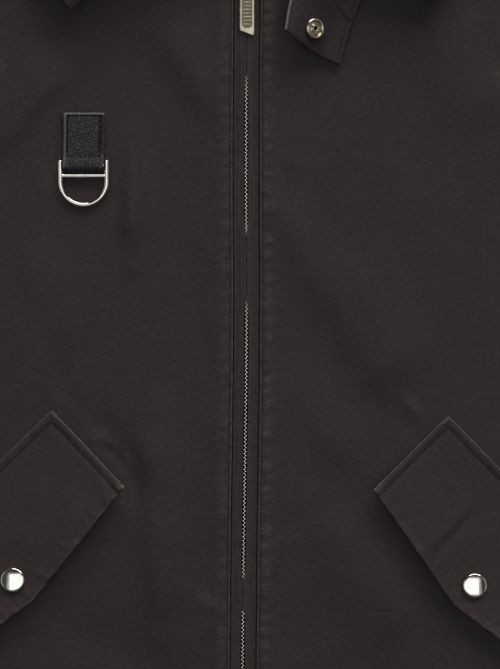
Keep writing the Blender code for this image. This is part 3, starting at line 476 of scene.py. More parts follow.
def grained_leather():
    """Black cowhide, its grain fine and its shine soft, with a painted highlight on its edges and painted
    shade, near black, in the stitched line and around the stitched box.
    """
    m, tree, shader = new_material("grained_leather", Specular_IOR_Level=0.3)
    place = own_uv(tree)
    pebbles = {"Vector": place, "Scale": 1 / (1.0 * MM), "Randomness": 0.95}
    cells = add_node(tree, "ShaderNodeTexVoronoi", pebbles, feature="DISTANCE_TO_EDGE")
    grain = rescaled(tree, cells.outputs["Distance"], 0.0, 0.28)
    tone = noise_at(tree, place, 4, detail=3.0)
    base = ramp(tree, tone, 0.3, 0.7, "#2c2c30", "#3a3b41")
    base = blend(tree, 0.8, base, ramp(tree, grain, 0, 1, "#08080a", "#76767b"))
    painted_light_and_wear = painted(tree, "painted_light_and_wear")
    highlight_and_wear = maths(tree, "MAXIMUM", painted_light_and_wear, 0.0)
    # b4b5ba: a painted highlight on the tab's rim
    base = blend(tree, highlight_and_wear, base, linear("#b4b5ba"))
    painted_shade = maths(tree, "MAXIMUM", maths(tree, "MULTIPLY", painted_light_and_wear, -1.0), 0.0)
    # 060607: painted shade along the stitched line and in the band outside it
    give(tree, shader, "Base Color", blend(tree, painted_shade, base, linear("#060607")))
    give(tree, shader, "Roughness", rescaled(tree, tone, 0.3, 0.7, 0.26, 0.38))
    bump(tree, shader, grain, distance=0.00045, strength=0.9)
    return m


def metal(name, dark, light, low_roughness, high_roughness, size_mm=2.5):
    """A plated metal: smooth, with faint handling marks in its colour and shine."""
    m, tree, shader = new_material(name, Metallic=1.0)
    place = object_place(tree)
    haze = noise_at(tree, place, size_mm, detail=4.0)
    give(tree, shader, "Base Color", ramp(tree, haze, 0.35, 0.65, dark, light))
    give(tree, shader, "Roughness", rescaled(tree, haze, 0.3, 0.7, low_roughness, high_roughness))
    bump(tree, shader, noise_at(tree, place, 0.6, detail=2.0), distance=0.00002, strength=0.3)
    return m


def aged_tag():
    """The pull tag's brass, where patina has stayed in the sunk field and rubbed off the border and ribs."""
    m, tree, shader = new_material("aged_brass_tag", Metallic=1.0)
    place = object_place(tree)
    haze = noise_at(tree, place, 1.6, detail=4.0)
    patina = painted(tree, "patina")
    plate = ramp(tree, haze, 0.35, 0.65, "#aaa18d", "#d6ceba")
    give(tree, shader, "Base Color", blend(tree, patina, plate, linear("#4a4436")))
    give(tree, shader, "Roughness", rescaled(tree, haze, 0.3, 0.7, 0.26, 0.42))
    bump(tree, shader, noise_at(tree, place, 0.8, detail=3.0), distance=0.00006, strength=0.5)
    return m


def zip_tape():
    """Polyester zip tape in a fine weave."""
    m, tree, shader = new_material("zip_tape", Roughness=0.8, Specular_IOR_Level=0.25)
    height = weave_height(tree, own_uv(tree), TAPE_SPACING)
    give(tree, shader, "Base Color", ramp(tree, height, 0.0, 0.8, "#080606", "#171212"))
    bump(tree, shader, height, distance=0.0002, strength=0.6)
    return m


def studio_floor():
    """A pale painted table top."""
    m, tree, shader = new_material("pale_table", Roughness=0.75, Specular_IOR_Level=0.3)
    shade = noise_at(tree, object_place(tree), 180, detail=2.0)
    give(tree, shader, "Base Color", ramp(tree, shade, 0.3, 0.7, "#dedddb", "#e4e3e1"))
    return m


COTTON, COW_LEATHER, TAPE, TAG_BRASS = waxed_cotton(), grained_leather(), zip_tape(), aged_tag()
# Twisted polyester, nearly black, and the bar tacks' silky thread, which catches the light: its paler colour
# is a painted glint
THREAD_BLACK = thread("twisted_thread", 0.6, 0.3, "#120e0e", "#2a2323", fibre_mm=0.3, relief=0.0002)
THREAD_TACK_GLINT = thread("bar_tack_thread", 0.42, 0.5, "#4a403d", "#857a75")
# Thick waxed thread, black and dull, in the leather tab
THREAD_LEATHER = thread("waxed_thread", 0.85, 0.15, "#030303", "#0a0a0b")
# Polished nickel plate on the ring and the snap caps, and bright nickel silver teeth
NICKEL = metal("polished_nickel", "#dedad2", "#f1efea", 0.05, 0.12)
TEETH = metal("nickel_silver_teeth", "#d6d2cb", "#f6f4f0", 0.10, 0.20, size_mm=1.2)
# Pale antique brass plate, a little worn, on the zip's slider and the throat snap
BRASS = metal("pale_antique_brass", "#b7ab92", "#e2dac6", 0.16, 0.30)
# Near-black metal down in the socket's hole: painted shade for the hole's depth
HOLE_SHADE = metal("painted_hole_shade", "#0c0b09", "#1b1813", 0.45, 0.6)


# ---------------------------------------------------------------- cloth shells
def unit(v):
    return v / np.maximum(np.linalg.norm(v, axis=-1, keepdims=True), 1e-9)


def grid_normals(grid):
    return unit(np.cross(np.gradient(grid, axis=1), np.gradient(grid, axis=0)))


def distances(grid):
    """Distances in millimetres along the rows and along the columns of a grid of points."""
    across = np.linalg.norm(np.diff(grid, axis=1, prepend=grid[:, :1]), axis=2).cumsum(axis=1)
    up = np.linalg.norm(np.diff(grid, axis=0, prepend=grid[:1]), axis=2).cumsum(axis=0)
    return across, up


def place_piece(obj, body, nodes=()):
    """Says which body a piece moves with, and hides the nodes that it stands for."""
    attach(obj, body)
    if nodes:
        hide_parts(*nodes)


def finish_piece(obj, material, body, nodes=()):
    obj.data.materials.append(material)
    place_piece(obj, body, nodes)


def link(name, mesh):
    obj = bpy.data.objects.new(name, mesh)
    bpy.context.scene.collection.objects.link(obj)
    return obj


def edge_distance(grid):
    """How far each point is from the nearest border, in millimetres."""
    across, up = distances(grid)
    return np.minimum(np.minimum(across, across[:, -1:] - across), np.minimum(up, up[-1:] - up))


UNDERSIDE_LIGHT_AND_WEAR = 0.3  # of the wear and painted light on the upper face


def shell(name, grid, thickness, material, centred=False, up=None, painted_light_and_wear=None, uv=None):
    """A closed cloth wall with rounded edges, from a grid of points on its outer face, or in its middle."""
    grid = np.asarray(grid, float)
    painted_light_and_wear = np.zeros(grid.shape[:2]) if painted_light_and_wear is None else painted_light_and_wear
    uv = np.stack(distances(grid), axis=2) * MM if uv is None else uv
    normals = grid_normals(grid)
    if up is not None and (normals[:, :, 2].mean() > 0) != up:
        grid, painted_light_and_wear, uv = grid[:, ::-1], painted_light_and_wear[:, ::-1], uv[:, ::-1]
        normals = grid_normals(grid)
    middle = grid if centred else grid - normals * thickness / 2
    half = (thickness / 2 * rounded(edge_distance(grid), thickness / 2))[:, :, None]
    outer, inner = middle + normals * half, middle - normals * half
    rows, columns = grid.shape[:2]
    index = np.arange(rows * columns).reshape(rows, columns)
    under = index.copy()
    under[1:-1, 1:-1] = rows * columns + np.arange((rows - 2) * (columns - 2)).reshape(rows - 2, -1)
    top = [index[:-1, :-1], index[:-1, 1:], index[1:, 1:], index[1:, :-1]]
    low = [under[:-1, :-1], under[1:, :-1], under[1:, 1:], under[:-1, 1:]]
    faces = np.concatenate([np.stack(corners, axis=2).reshape(-1, 4) for corners in (top, low)])
    points = np.concatenate([outer.reshape(-1, 3), inner[1:-1, 1:-1].reshape(-1, 3)])
    mesh = bpy.data.meshes.new(name)
    mesh.from_pydata(points * MM, [], faces.tolist())
    mesh.shade_smooth()
    all_uv = np.concatenate([uv.reshape(-1, 2), uv[1:-1, 1:-1].reshape(-1, 2)])
    # Each point carries rubbed wear and painted light: above 0 a painted highlight or paler wear, below 0
    # painted shade
    all_painted_light_and_wear = np.concatenate([painted_light_and_wear.reshape(-1), painted_light_and_wear[1:-1, 1:-1].reshape(-1) * UNDERSIDE_LIGHT_AND_WEAR])
    mesh.uv_layers.new(name="UVMap").data.foreach_set("uv", all_uv[faces.reshape(-1)].reshape(-1))
    mesh.attributes.new("painted_light_and_wear", "FLOAT", "POINT").data.foreach_set("value", all_painted_light_and_wear)
    mesh.materials.append(material)
    return link(name, mesh), outer


def put_cloth(obj, nodes):
    """Puts a piece of cloth on the garment's body and hides the nodes that it stands for."""
    place_piece(obj, BODY, nodes)


EDGE_MARKS = (0, 0.08, 0.28, 0.6, 1.0, 1.5)  # rows of points this far from a rounded edge
LINE_MARKS = (-1.0, -0.6, -0.3, 0, 0.3, 0.6, 1.0)  # and this far either side of a stitched line


def edge_rows(inset, step):
    """Distances of the rows from an edge to just past the line stitched along it at the inset."""
    line = [inset + d for d in LINE_MARKS]
    plain = list(np.arange(EDGE_MARKS[-1] + step, line[0] - 0.4 * step, step))
    return [v for v in EDGE_MARKS if v < line[0] - 0.15] + plain + line


def stops(length, step, first_inset, last_inset):
    """Distances from 0 to length, closer together at both ends and beside the stitched lines there."""
    first, last = edge_rows(first_inset, step), edge_rows(last_inset, step)
    count = max(3, round((length - first[-1] - last[-1]) / step) + 1)
    middle = np.linspace(first[-1], length - last[-1], count)[1:-1]
    return first, middle, last


def joined(length, first, middle, last):
    """The three parts of stops as one row of distances."""
    return np.concatenate([first, middle, length - np.array(last)[::-1]])


def spread(a, b, first, middle_count, last):
    """Points from a to b at the fixed distances first from a and last from b, and even between."""
    width = np.linalg.norm(b - a)
    middle = np.linspace(first[-1], width - last[-1], middle_count + 2)[1:-1]
    return a + (b - a) * (joined(width, first, middle, last) / width)[:, None]


def points_along(path, at):
    """Points at the given distances along a line of points."""
    lengths = np.concatenate([[0], np.linalg.norm(np.diff(path, axis=0), axis=1).cumsum()])
    return np.stack([np.interp(at, lengths, path[:, k]) for k in range(3)], axis=1)


# ---------------------------------------------------------------- small meshes
def bridge(b, rings):
    """Faces between each ring of corners and the next. A ring of one corner is a tip."""
    for one, other in zip(rings, rings[1:]):
        count = max(len(one), len(other))
        for k in range(count):
            n = (k + 1) % count
            corners = [one[k % len(one)], other[k % len(other)], other[n % len(other)], one[n % len(one)]]
            unique = list(dict.fromkeys(corners))
            if len(unique) > 2:
                b.faces.new(unique)


def mesh_of(b, name, sharp_degrees=None):
    """The mesh of a bmesh, its faces outwards, smooth if an angle for its sharp edges is given."""
    bmesh.ops.recalc_face_normals(b, faces=b.faces)
    mesh = bpy.data.meshes.new(name)
    b.to_mesh(mesh)
    b.free()
    if sharp_degrees:
        mesh.shade_smooth()
        mesh.set_sharp_from_angle(angle=math.radians(sharp_degrees))
    return mesh


def joint_axis(name):
    joint = next(j for j in frame["joints"] if j["name"] == name)
    return Vector(joint["pos_m"]) / MM


def on_joint(axis, degrees):
    """Takes a mesh from millimetres about a joint's axis to its place, turned about the axis."""
    turn = Matrix.Rotation(math.radians(degrees), 4, "X")
    return Matrix.Translation(axis * MM) @ turn @ Matrix.Scale(MM, 4)


# ---------------------------------------------------------------- stitches
SEWING = {"thread": [], "tack": [], "leather": []}


def sew(path, kind="thread"):
    """Remembers a line of points, in millimetres, that a row of stitches follows."""
    SEWING[kind].append(np.asarray(path, float))


def line_tree(name, inputs):
    """A geometry node tree, its inputs, and the points that it steps to along every line of a mesh."""
    tree = bpy.data.node_groups.new(name, "GeometryNodeTree")
    for socket, kind in (("Geometry", "Geometry"), *inputs):
        tree.interface.new_socket(socket, in_out="INPUT", socket_type="NodeSocket" + kind)
    tree.interface.new_socket("Geometry", in_out="OUTPUT", socket_type="NodeSocketGeometry")
    source = add_node(tree, "NodeGroupInput").outputs
    curve = add_node(tree, "GeometryNodeMeshToCurve", {"Mesh": source["Geometry"]})
    pitch = {"Curve": curve.outputs[0], "Length": source["Pitch"]}
    return tree, source, add_node(tree, "GeometryNodeCurveToPoints", pitch, mode="LENGTH").outputs


def finish_tree(tree, source, copies):
    """Makes the copies real and gives them their material."""
    real = add_node(tree, "GeometryNodeRealizeInstances", {"Geometry": copies})
    looks = {"Geometry": real.outputs[0], "Material": source["Material"]}
    dressed = add_node(tree, "GeometryNodeSetMaterial", looks)
    add_node(tree, "NodeGroupOutput", {"Geometry": dressed.outputs[0]})
    return tree


def stitch_tree():
    """Geometry nodes that lay one stitch at each step along every line of the mesh."""
    inputs = [("Pitch", "Float"), ("Length", "Float"), ("Thread", "Float"), ("Material", "Material")]
    tree, source, steps = line_tree("stitches", inputs)
    ball = add_node(tree, "GeometryNodeMeshUVSphere", {"Segments": 6, "Rings": 5, "Radius": 0.5})
    thick, long = source["Thread"], source["Length"]
    size = add_node(tree, "ShaderNodeCombineXYZ", {"X": thick, "Y": thick, "Z": long})
    laid = add_node(tree, "GeometryNodeInstanceOnPoints", {
        "Points": steps["Points"], "Instance": ball.outputs["Mesh"],
        "Rotation": steps["Rotation"], "Scale": size.outputs[0]})
    return finish_tree(tree, source, laid.outputs[0])


def run_tree(name, mesh, tree, values):
    """The tree run on a mesh, as a plain mesh object."""
    source = link(name, mesh)
    modifier = source.modifiers.new("nodes", "NODES")
    modifier.node_group = tree
    for item in tree.interface.items_tree:
        if item.item_type == "SOCKET" and item.in_out == "INPUT" and item.name in values:
            modifier[item.identifier] = values[item.name]
    bpy.context.view_layer.update()
    graph = bpy.context.evaluated_depsgraph_get()
    result = bpy.data.meshes.new_from_object(source.evaluated_get(graph))
    source.modifiers.remove(modifier)
    bpy.data.objects.remove(source)
    result.shade_smooth()
    return link(name, result)


def line_mesh(name, paths):
    mesh = bpy.data.meshes.new(name)
    points, edges = [], []
    for path in paths:
        start = len(points)
        points += [tuple(p * MM) for p in path]
        edges += [(start + k, start + k + 1) for k in range(len(path) - 1)]
    mesh.from_pydata(points, edges, [])
    return mesh


STITCH_KINDS = {  # the piece's name, its thread, then pitch, length and width of a stitch
    "thread": ("stitches_dark", THREAD_BLACK, STITCH_PITCH, STITCH_LENGTH, THREAD),
    "tack": ("stitches_tack", THREAD_TACK_GLINT, 0.62, 0.75, 0.5),
    "leather": ("stitches_leather", THREAD_LEATHER, 2.5, 1.9, 0.95),
}


def make_stitches():
    tree = stitch_tree()
    for kind, (name, material, pitch, length, width) in STITCH_KINDS.items():
        values = {"Pitch": pitch * MM, "Length": length * MM, "Thread": width * MM, "Material": material}
        place_piece(run_tree(name, line_mesh(name, SEWING[kind]), tree, values), BODY)


# ---------------------------------------------------------------- fronts and back
ARMHOLE = [UNDERARM, (249, 54), (219, 84), (199, 126), (190, 172), (190, 216), (196, 247), SHOULDER_TIP]
BACK_ARMHOLE = [UNDERARM, (256, 58), (228, 92), (209, 132), (201, 176), (200, 218), (202, 247), SHOULDER_TIP]
NECKLINE = [(ZIP_EDGE, NECK_Y), (30, 227), (54, 249), (70, 280), NECK_POINT]
CHEST_SHARE = 9 / 17  # the part of the armhole's rows whose inner end is still on the zip
ARMHOLE_SHARES = [(0, 0.58, 92, 0), (0.58, 0.94, 34, 1), (0.94, 1, 14, 1)]  # from, to, rows, rows left out
PANEL_STEP, PANEL_ROW_MIDDLE = 1.9, 104
HEM_MARKS = (0, 0.4, 1, 2)  # rows this far above the hem
HEM_LINE_MARKS = (-1.5, -0.8, -0.4, 0, 0.4, 0.8, 1.5)  # and either side of its stitches
LOW_ROWS_TOP, LOW_ROW_STEP = -215.0, 3.2  # the rows are wider apart below the pockets


def side_x(y):
    """Where the side seam is, below the arm."""
    return SIDE_FOOT[0] + (UNDERARM[0] - SIDE_FOOT[0]) * (y - HEM_Y) / (UNDERARM_Y - HEM_Y)


def front_rows():
    """Inner and outer end of each row, hem to shoulder."""
    seam_y = HEM_Y + HEM_STITCH_HEIGHT
    marks = [HEM_Y + d for d in HEM_MARKS] + [seam_y + d for d in HEM_LINE_MARKS]
    marks += list(np.arange(HEM_Y + 4.5, seam_y - 2, 2.5))
    marks += list(np.arange(seam_y + 4, LOW_ROWS_TOP, LOW_ROW_STEP))
    y = np.array(sorted(marks + list(np.arange(LOW_ROWS_TOP + 1, UNDERARM_Y, PANEL_STEP))))
    inner = np.stack([np.full_like(y, ZIP_EDGE), y], axis=1)
    outer = np.stack([side_x(y), y], axis=1)
    t = np.concatenate([np.linspace(a, b, count)[skip:] for a, b, count, skip in ARMHOLE_SHARES])
    chest = t <= CHEST_SHARE
    chest_y = UNDERARM_Y + (NECK_Y - UNDERARM_Y) * t[chest] / CHEST_SHARE
    up = np.stack([np.full(chest.sum(), ZIP_EDGE), chest_y], axis=1)
    neck = spline_at(NECKLINE, (t[~chest] - CHEST_SHARE) / (1 - CHEST_SHARE))
    return np.vstack([inner, up, neck]), np.vstack([outer, spline_at(ARMHOLE, t)])


# Painted highlights, partly rubbed wax: a pale line on the zip edge and a pale tone on crease ridges; over
# the puckers a painted highlight
EDGE_WEAR_AND_HIGHLIGHT, CREASE_HIGHLIGHT_AND_WEAR, PUCKER_HIGHLIGHT = 0.9, 0.12, {1: 0.20, -1: 0.12}


def make_front(side, name):
    inner, outer = front_rows()
    first, _, last = stops(160, PANEL_STEP, ZIP_STITCH_INSET, ARMHOLE_STITCH_INSET)
    flat = np.array([spread(a, b, first, PANEL_ROW_MIDDLE, last) for a, b in zip(inner, outer)])
    x, y = side * flat[:, :, 0], flat[:, :, 1]
    hem = y - HEM_Y
    from_seam = hem - HEM_STITCH_HEIGHT
    z = front_skin(x, y) + groove(from_seam, depth=0.35)
    z = z + border(hem, HEM_STITCH_HEIGHT, height=0.25, fade=1.5, roll=1.2)
    z = z + lumps(x, hem * 0.4, height=0.3, size=6.5, seed=12.5) * bell(from_seam, 9)
    grid = np.stack([swayed(x, y), y, z], axis=2)
    # puffs: where painted highlights lie over the puckers
    puffs = np.clip(puckers(x, y) * 2 + 0.2, 0, 1) * bell(np.abs(x) - PUCKER_FROM_ZIP, 4)
    painted_light_and_wear = np.maximum(EDGE_WEAR_AND_HIGHLIGHT * bell(np.abs(x) - ZIP_EDGE, 0.6), PUCKER_HIGHLIGHT[side] * puffs)
    painted_light_and_wear = np.maximum(painted_light_and_wear, CREASE_HIGHLIGHT_AND_WEAR * np.clip(creases_at(x, y, CREASES) / 0.7, 0, 1))
    obj, skin = shell(name, grid, CLOTH, COTTON, up=True, painted_light_and_wear=painted_light_and_wear, uv=np.stack([x, y], axis=2) * MM)
    put_cloth(obj, [name])
    if side < 0:
        skin = skin[:, ::-1]
    sew(skin[:, first.index(ZIP_STITCH_INSET)])
    hem_row = int(np.argmin(np.abs(skin[:, 3, 1] - HEM_Y - HEM_STITCH_HEIGHT)))
    sew(skin[hem_row, 6:-6])
    armpit_row = int(np.argmin(np.abs(inner[:, 1] - UNDERARM_Y))) + 3
    sew(skin[armpit_row:-3, -1 - last.index(ARMHOLE_STITCH_INSET)])
    sew(skin[-5, 5:-8])


BACK_TOP_Y, BACK_LOW_ROWS, BACK_HIGH_ROWS = 280.0, 52, 45


def back_rows():
    """Inner and outer end of each row of the back's one half, hem to shoulder."""
    low = np.linspace(HEM_Y, UNDERARM_Y, BACK_LOW_ROWS)
    high = UNDERARM_Y + (BACK_TOP_Y - UNDERARM_Y) * np.arange(1, BACK_HIGH_ROWS + 1) / BACK_HIGH_ROWS
    y = np.concatenate([low, high])
    outer = np.vstack([np.stack([side_x(low), low], axis=1), spline(BACK_ARMHOLE, BACK_HIGH_ROWS + 1)[1:]])
    return np.stack([np.zeros_like(y), y], axis=1), outer


BACK_EDGE_MARKS = np.array((9, 7, 5, 3.5, 2.2, 1.2, 0.75, 0.4, 0.15, 0))  # points this far from the side
# Rows at these shares of the way up to the neck and the shoulder
BACK_YOKE_SHARES = (0.12, 0.26, 0.42, 0.58, 0.72, 0.82, 0.9, 0.95, 0.98, 1.0)
BACK_NECKLINE = [(0, 305), (30, 306), (56, 309.5), NECK_POINT]
BACK_ARMHOLE_INSET = 8.0


def make_back():
    rows = []
    for a, b in zip(*back_rows()):
        width = np.linalg.norm(b - a)
        at = np.concatenate([np.linspace(0, width - 12, 34), width - BACK_EDGE_MARKS])
        rows.append(a + (b - a) * (at / width)[:, None])
    shoulder = np.array(NECK_POINT) + np.subtract(SHOULDER_TIP, NECK_POINT) * np.linspace(0, 1, 30)[1:, None]
    rim = np.vstack([spline(BACK_NECKLINE, 15), shoulder])
    last = rows.pop()
    half = np.array(rows + [last + (rim - last) * share for share in BACK_YOKE_SHARES])
    flat = np.concatenate([half[:, :0:-1] * (-1, 1), half], axis=1)
    x, y = flat[:, :, 0], flat[:, :, 1]
    grid = np.stack([x, y, back_bottom(x, y)], axis=2)
    obj, _ = shell("back", grid, CLOTH, COTTON, up=False, uv=flat * MM)
    put_cloth(obj, ["back"])
    tips = spline(BACK_ARMHOLE, 90)[8:-2]
    for side in (-1, 1):
        x, y = side * (tips[:, 0] - BACK_ARMHOLE_INSET), tips[:, 1]
        sew(np.column_stack([x, y, back_bottom(x, y) + CLOTH]))


# ---------------------------------------------------------------- zip
STRIP_RISE_FROM = 0.3


def strip_top(x):
    """Height of the strip's outer face, highest beside the teeth and dipping under the front."""
    near = np.maximum(0.0, 1 - (x - STRIP_RISE_FROM) / (ZIP_EDGE - STRIP_RISE_FROM))
    outside = STRIP_LOW - STRIP_DIP * smooth((x - ZIP_EDGE) / STRIP_UNDERLAP)
    return np.where(x < ZIP_EDGE, STRIP_LOW + STRIP_RISE * smooth(near), outside)


STRIP_COLUMNS = np.concatenate([  # shares of the way from the strip's fold to the front's edge
    [0, 0.01, 0.03, 0.06, 0.09], np.linspace(0.12, 0.84, 13), [0.87, 0.90, 0.93, 0.96, 1.0]])
STRIP_UNDER_COLUMNS = np.array((1.5, 3.0, 4.5, 6.0))  # and how far under the front the last ones are
PLEAT_FROM_FOLD, PLEAT_WIDTH = 3.1, 0.75
PLEAT_HEIGHTS, STRIP_FOLD_HIGHLIGHT = {1: 0.34, -1: 0.16}, {1: 0.42, -1: 0.12}  # wearer's left and right


def make_strip(side, name):
    """The narrow folded strip beside the teeth, its fold next to them, with one soft pleat along it."""
    y = np.arange(HEM_Y + 1.0, NECK_Y - 0.4, 1.5)
    gap = table_at(STRIP_GAP, y)[:, None]
    x = gap + (ZIP_EDGE - gap) * STRIP_COLUMNS[None, :]
    x = np.concatenate([x, x[:, -1:] + STRIP_UNDER_COLUMNS], axis=1)
    yy = np.repeat(y[:, None], x.shape[1], axis=1)
    from_fold = x - gap
    from_front = ZIP_EDGE - 0.1 - x
    wander = lumps(np.full_like(yy, side * 3.0), yy, height=0.9, size=26, seed=21.5)
    pleat = from_fold - (PLEAT_FROM_FOLD + wander)
    z = strip_top(x) + 1.2 * smooth((from_front + 0.15) / 0.65) * decay(np.maximum(from_front, 0), 3.2)
    z += PLEAT_HEIGHTS[side] * (bell(pleat, PLEAT_WIDTH) - 0.2 * bell(pleat - 1.6, 0.8))
    z += lumps(side * x * 1.2, yy, height=0.13, size=7.0, seed=31.5)
    z += lumps(side * x * 0.6, yy, height=0.10, size=3.2, seed=35.5)
    z -= 0.15 * decay(from_fold, 0.5)
    grid = np.stack([swayed(side * x, yy), yy, z], axis=2)
    # A painted highlight along the strip's fold and on the pleat's crest
    painted_light_and_wear = STRIP_FOLD_HIGHLIGHT[side] * decay(from_fold, 0.7) + 0.10 * bell(pleat, 0.5)
    obj, _ = shell(name, grid, STRIP_CLOTH, COTTON, up=True, painted_light_and_wear=painted_light_and_wear)
    put_cloth(obj, [name])


TOOTH_PITCH, TOOTH_STRETCH, TOOTH_BEVEL = 2.4, 1.5 / 1.3, 0.3
TOOTH_SECTIONS = [  # x, half length before the stretch, half height
    (-0.30, 0.24, 0.5), (-0.14, 0.44, 0.84), (0.12, 0.45, 1.0), (0.62, 0.45, 1.0), (0.86, 0.34, 0.75),
    (1.2, 0.30, 0.5), (2.4, 0.40, 0.5), (2.9, 0.36, 0.4),
]
TEETH_LIFT = 0.35
TAPE_INNER, TAPE_OUTER, TAPE_THICK, TAPE_LIFT = 1.3, 13.0, 0.55, 0.85


def tooth_mesh():
    """One tooth: a rounded jaw that reaches past the middle, a waist, and a root that grips the tape."""
    b = bmesh.new()
    rings = []
    for x, half, tall in TOOTH_SECTIONS:
        shoulder, cheek = half - TOOTH_BEVEL * 0.7, tall - TOOTH_BEVEL
        quarter = [(half, cheek), (shoulder, tall), (-shoulder, tall), (-half, cheek)]
        outline = quarter + [(-y, -z) for y, z in quarter]
        rings.append([b.verts.new(Vector((x, y * TOOTH_STRETCH, z)) * MM) for y, z in outline])
    bridge(b, rings)
    b.faces.new(rings[0])
    b.faces.new(rings[-1][::-1])
    return mesh_of(b, "tooth")


def teeth_tree():
    """Geometry nodes that set a tooth on each side of the zip's line in turn."""
    inputs = [("Pitch", "Float"), ("Tooth", "Object"), ("Material", "Material")]
    tree, source, steps = line_tree("zip_teeth", inputs)
    tooth = add_node(tree, "GeometryNodeObjectInfo", {"Object": source["Tooth"]}).outputs["Geometry"]
    half = maths(tree, "MULTIPLY", source["Pitch"], 0.5)
    shift = add_node(tree, "ShaderNodeCombineXYZ", {"Y": half})
    shifted = {"Geometry": steps["Points"], "Offset": shift.outputs[0]}
    moved = add_node(tree, "GeometryNodeSetPosition", shifted)
    both = add_node(tree, "GeometryNodeJoinGeometry")
    for points, turn in ((steps["Points"], 0.0), (moved.outputs[0], math.pi)):
        placed = {"Points": points, "Instance": tooth, "Rotation": (0, 0, turn)}
        row = add_node(tree, "GeometryNodeInstanceOnPoints", placed)
        tree.links.new(row.outputs[0], both.inputs[0])
    return finish_tree(tree, source, both.outputs[0])


def make_teeth():
    tooth = link("tooth_pattern", tooth_mesh())
    y = np.arange(HEM_Y + 15, 197, 4.0)
    height = CHAIN_Z + CHAIN_THICK / 2 + TEETH_LIFT
    path = np.stack([table_at(ZIP_SWAY, y), y, np.full_like(y, height)], axis=1)
    values = {"Pitch": TOOTH_PITCH * MM, "Tooth": tooth, "Material": TEETH}
    obj = run_tree("zip_teeth_row", line_mesh("zip_teeth_row", [path]), teeth_tree(), values)
    bpy.data.objects.remove(tooth)
    obj.data.set_sharp_from_angle(angle=math.radians(40))
    place_piece(obj, BODY, ["zip_teeth"])
    columns = np.linspace(TAPE_INNER, TAPE_OUTER, 10)
    yy, xx = np.meshgrid(np.arange(HEM_Y + 3, NECK_Y - 2, 4.0), columns, indexing="ij")
    z = CHAIN_Z + TAPE_LIFT + 0.5 * bell(xx - 1.6, 0.5)
    for side, name in ((1, "zip_tape_left"), (-1, "zip_tape_right")):
        grid = np.stack([swayed(side * xx, yy), yy, z], axis=2)
        tape, _ = shell(name, grid, TAPE_THICK, TAPE, up=True)
        put_cloth(tape, [])


# ---------------------------------------------------------------- pocket flaps
def flap_xy(name, along, down):
    """Where a point of a flap is, from how far it is along the flap's seam and down from it."""
    place = FLAP_PLACES[name]
    (x0, y0), side, slope = place["corner"], place["side"], math.radians(place["slope"])
    c, s = math.cos(slope), math.sin(slope)
    return x0 + side * (along * c - down * s), y0 - along * s - down * c


def flap_depth(name, along):
    place = FLAP_PLACES[name]
    at = place["point_at"]
    towards_point = np.where(along < at, along / at, (FLAP_LENGTH - along) / (FLAP_LENGTH - at))
    return FLAP_DEPTH + place["point"] * towards_point


def snap_place(name):
    """How far along a flap and down from its seam the snap is."""
    place = FLAP_PLACES[name]
    return place["point_at"], FLAP_DEPTH + place["point"] - SNAP_FROM_POINT


# A flap's height over the front at its seam, and how its lift grows downwards
FLAP_CLEAR, LIFT_POWER = 0.5, 1.7
SNAP_HOLD, SNAP_REACH_ALONG, SNAP_REACH_DOWN = 0.35, 30.0, 26.0  # the snap holds part of that lift down


def flap_bottom(name, along, down):
    """Height of the flap's underside, as the solids have it."""
    x, y = flap_xy(name, along, down)
    free = np.clip(down / FLAP_DEPTH, 0, None) ** LIFT_POWER * FLAP_PLACES[name]["lift"]
    middle, low = snap_place(name)
    held = np.exp(-(((along - middle) / SNAP_REACH_ALONG) ** 2) - ((down - low) / SNAP_REACH_DOWN) ** 2)
    return front_top(x, y) + FLAP_CLEAR + free * (1 - SNAP_HOLD * held)


FLAP_CREASES = {  # along, down, along, down, half width, height
    "left": [(25, 27, 41, 28, 3.0, 0.5), (48.5, 30, 48.5, 68, 4.5, 0.55), (54, 26, 53.5, 66, 3.0, -0.6),
             (110, 20, 130, 44, 5, 0.5), (130, 56, 150, 40, 4, 0.4), (18, 56, 30, 64, 3.0, 0.45)],
    "right": [(30, 22, 52, 40, 5, 0.35), (20, 44, 44, 56, 4.5, 0.4), (100, 30, 124, 48, 5, 0.45),
              (140, 52, 126, 30, 5, -0.4), (88, 69, 88, 73.5, 1.3, 0.8)],
}
FLAP_SEEDS = {"left": 41.5, "right": 47.5}
LOW_SLANT = 0.988  # the flap's lower edges slant, so a point is a little nearer to them than straight down
FLAP_STEP = 1.35


def flap_skin(name, along, down):
    """Height of the flap's upper face, with its stitched edges and small creases."""
    inset, seed = FLAP_STITCH_INSET, FLAP_SEEDS[name]
    low = (flap_depth(name, along) - down) * LOW_SLANT
    seamed = np.minimum(np.minimum(along, FLAP_LENGTH - along), down)
    edge = np.minimum(seamed, low)
    z = flap_bottom(name, along, down) + FLAP_CLOTH
    z = z + groove(seamed - inset, depth=0.62, half_width=1.1)
    z = z + groove(low - inset, depth=0.14, half_width=1.0)
    z = z + border(seamed, inset, height=0.34, fade=1.1, roll=0.9)
    crinkle = lumps(along, low * 0.45, height=0.55, size=3.6, seed=seed)
    crinkle = crinkle + lumps(along, low * 0.8, height=0.275, size=1.9, seed=seed + 5)
    z = z + crinkle * bell(low - 3.0, 4.5) * smooth(low / 0.8)
    z = z + lumps(along * 0.35, down, height=0.18, size=4.5, seed=seed + 1) * bell(along - 3.5, 5.0)
    z = z + lumps(along, down * 0.35, height=0.18, size=4.5, seed=seed + 2) * bell(down - 3.5, 5.0)
    z = z + lumps(along, down, height=0.30, size=21, seed=seed + 3) * smooth(edge / 10)
    return z + creases_at(along, down, FLAP_CREASES[name], steep=1.0, gentle=1.0)


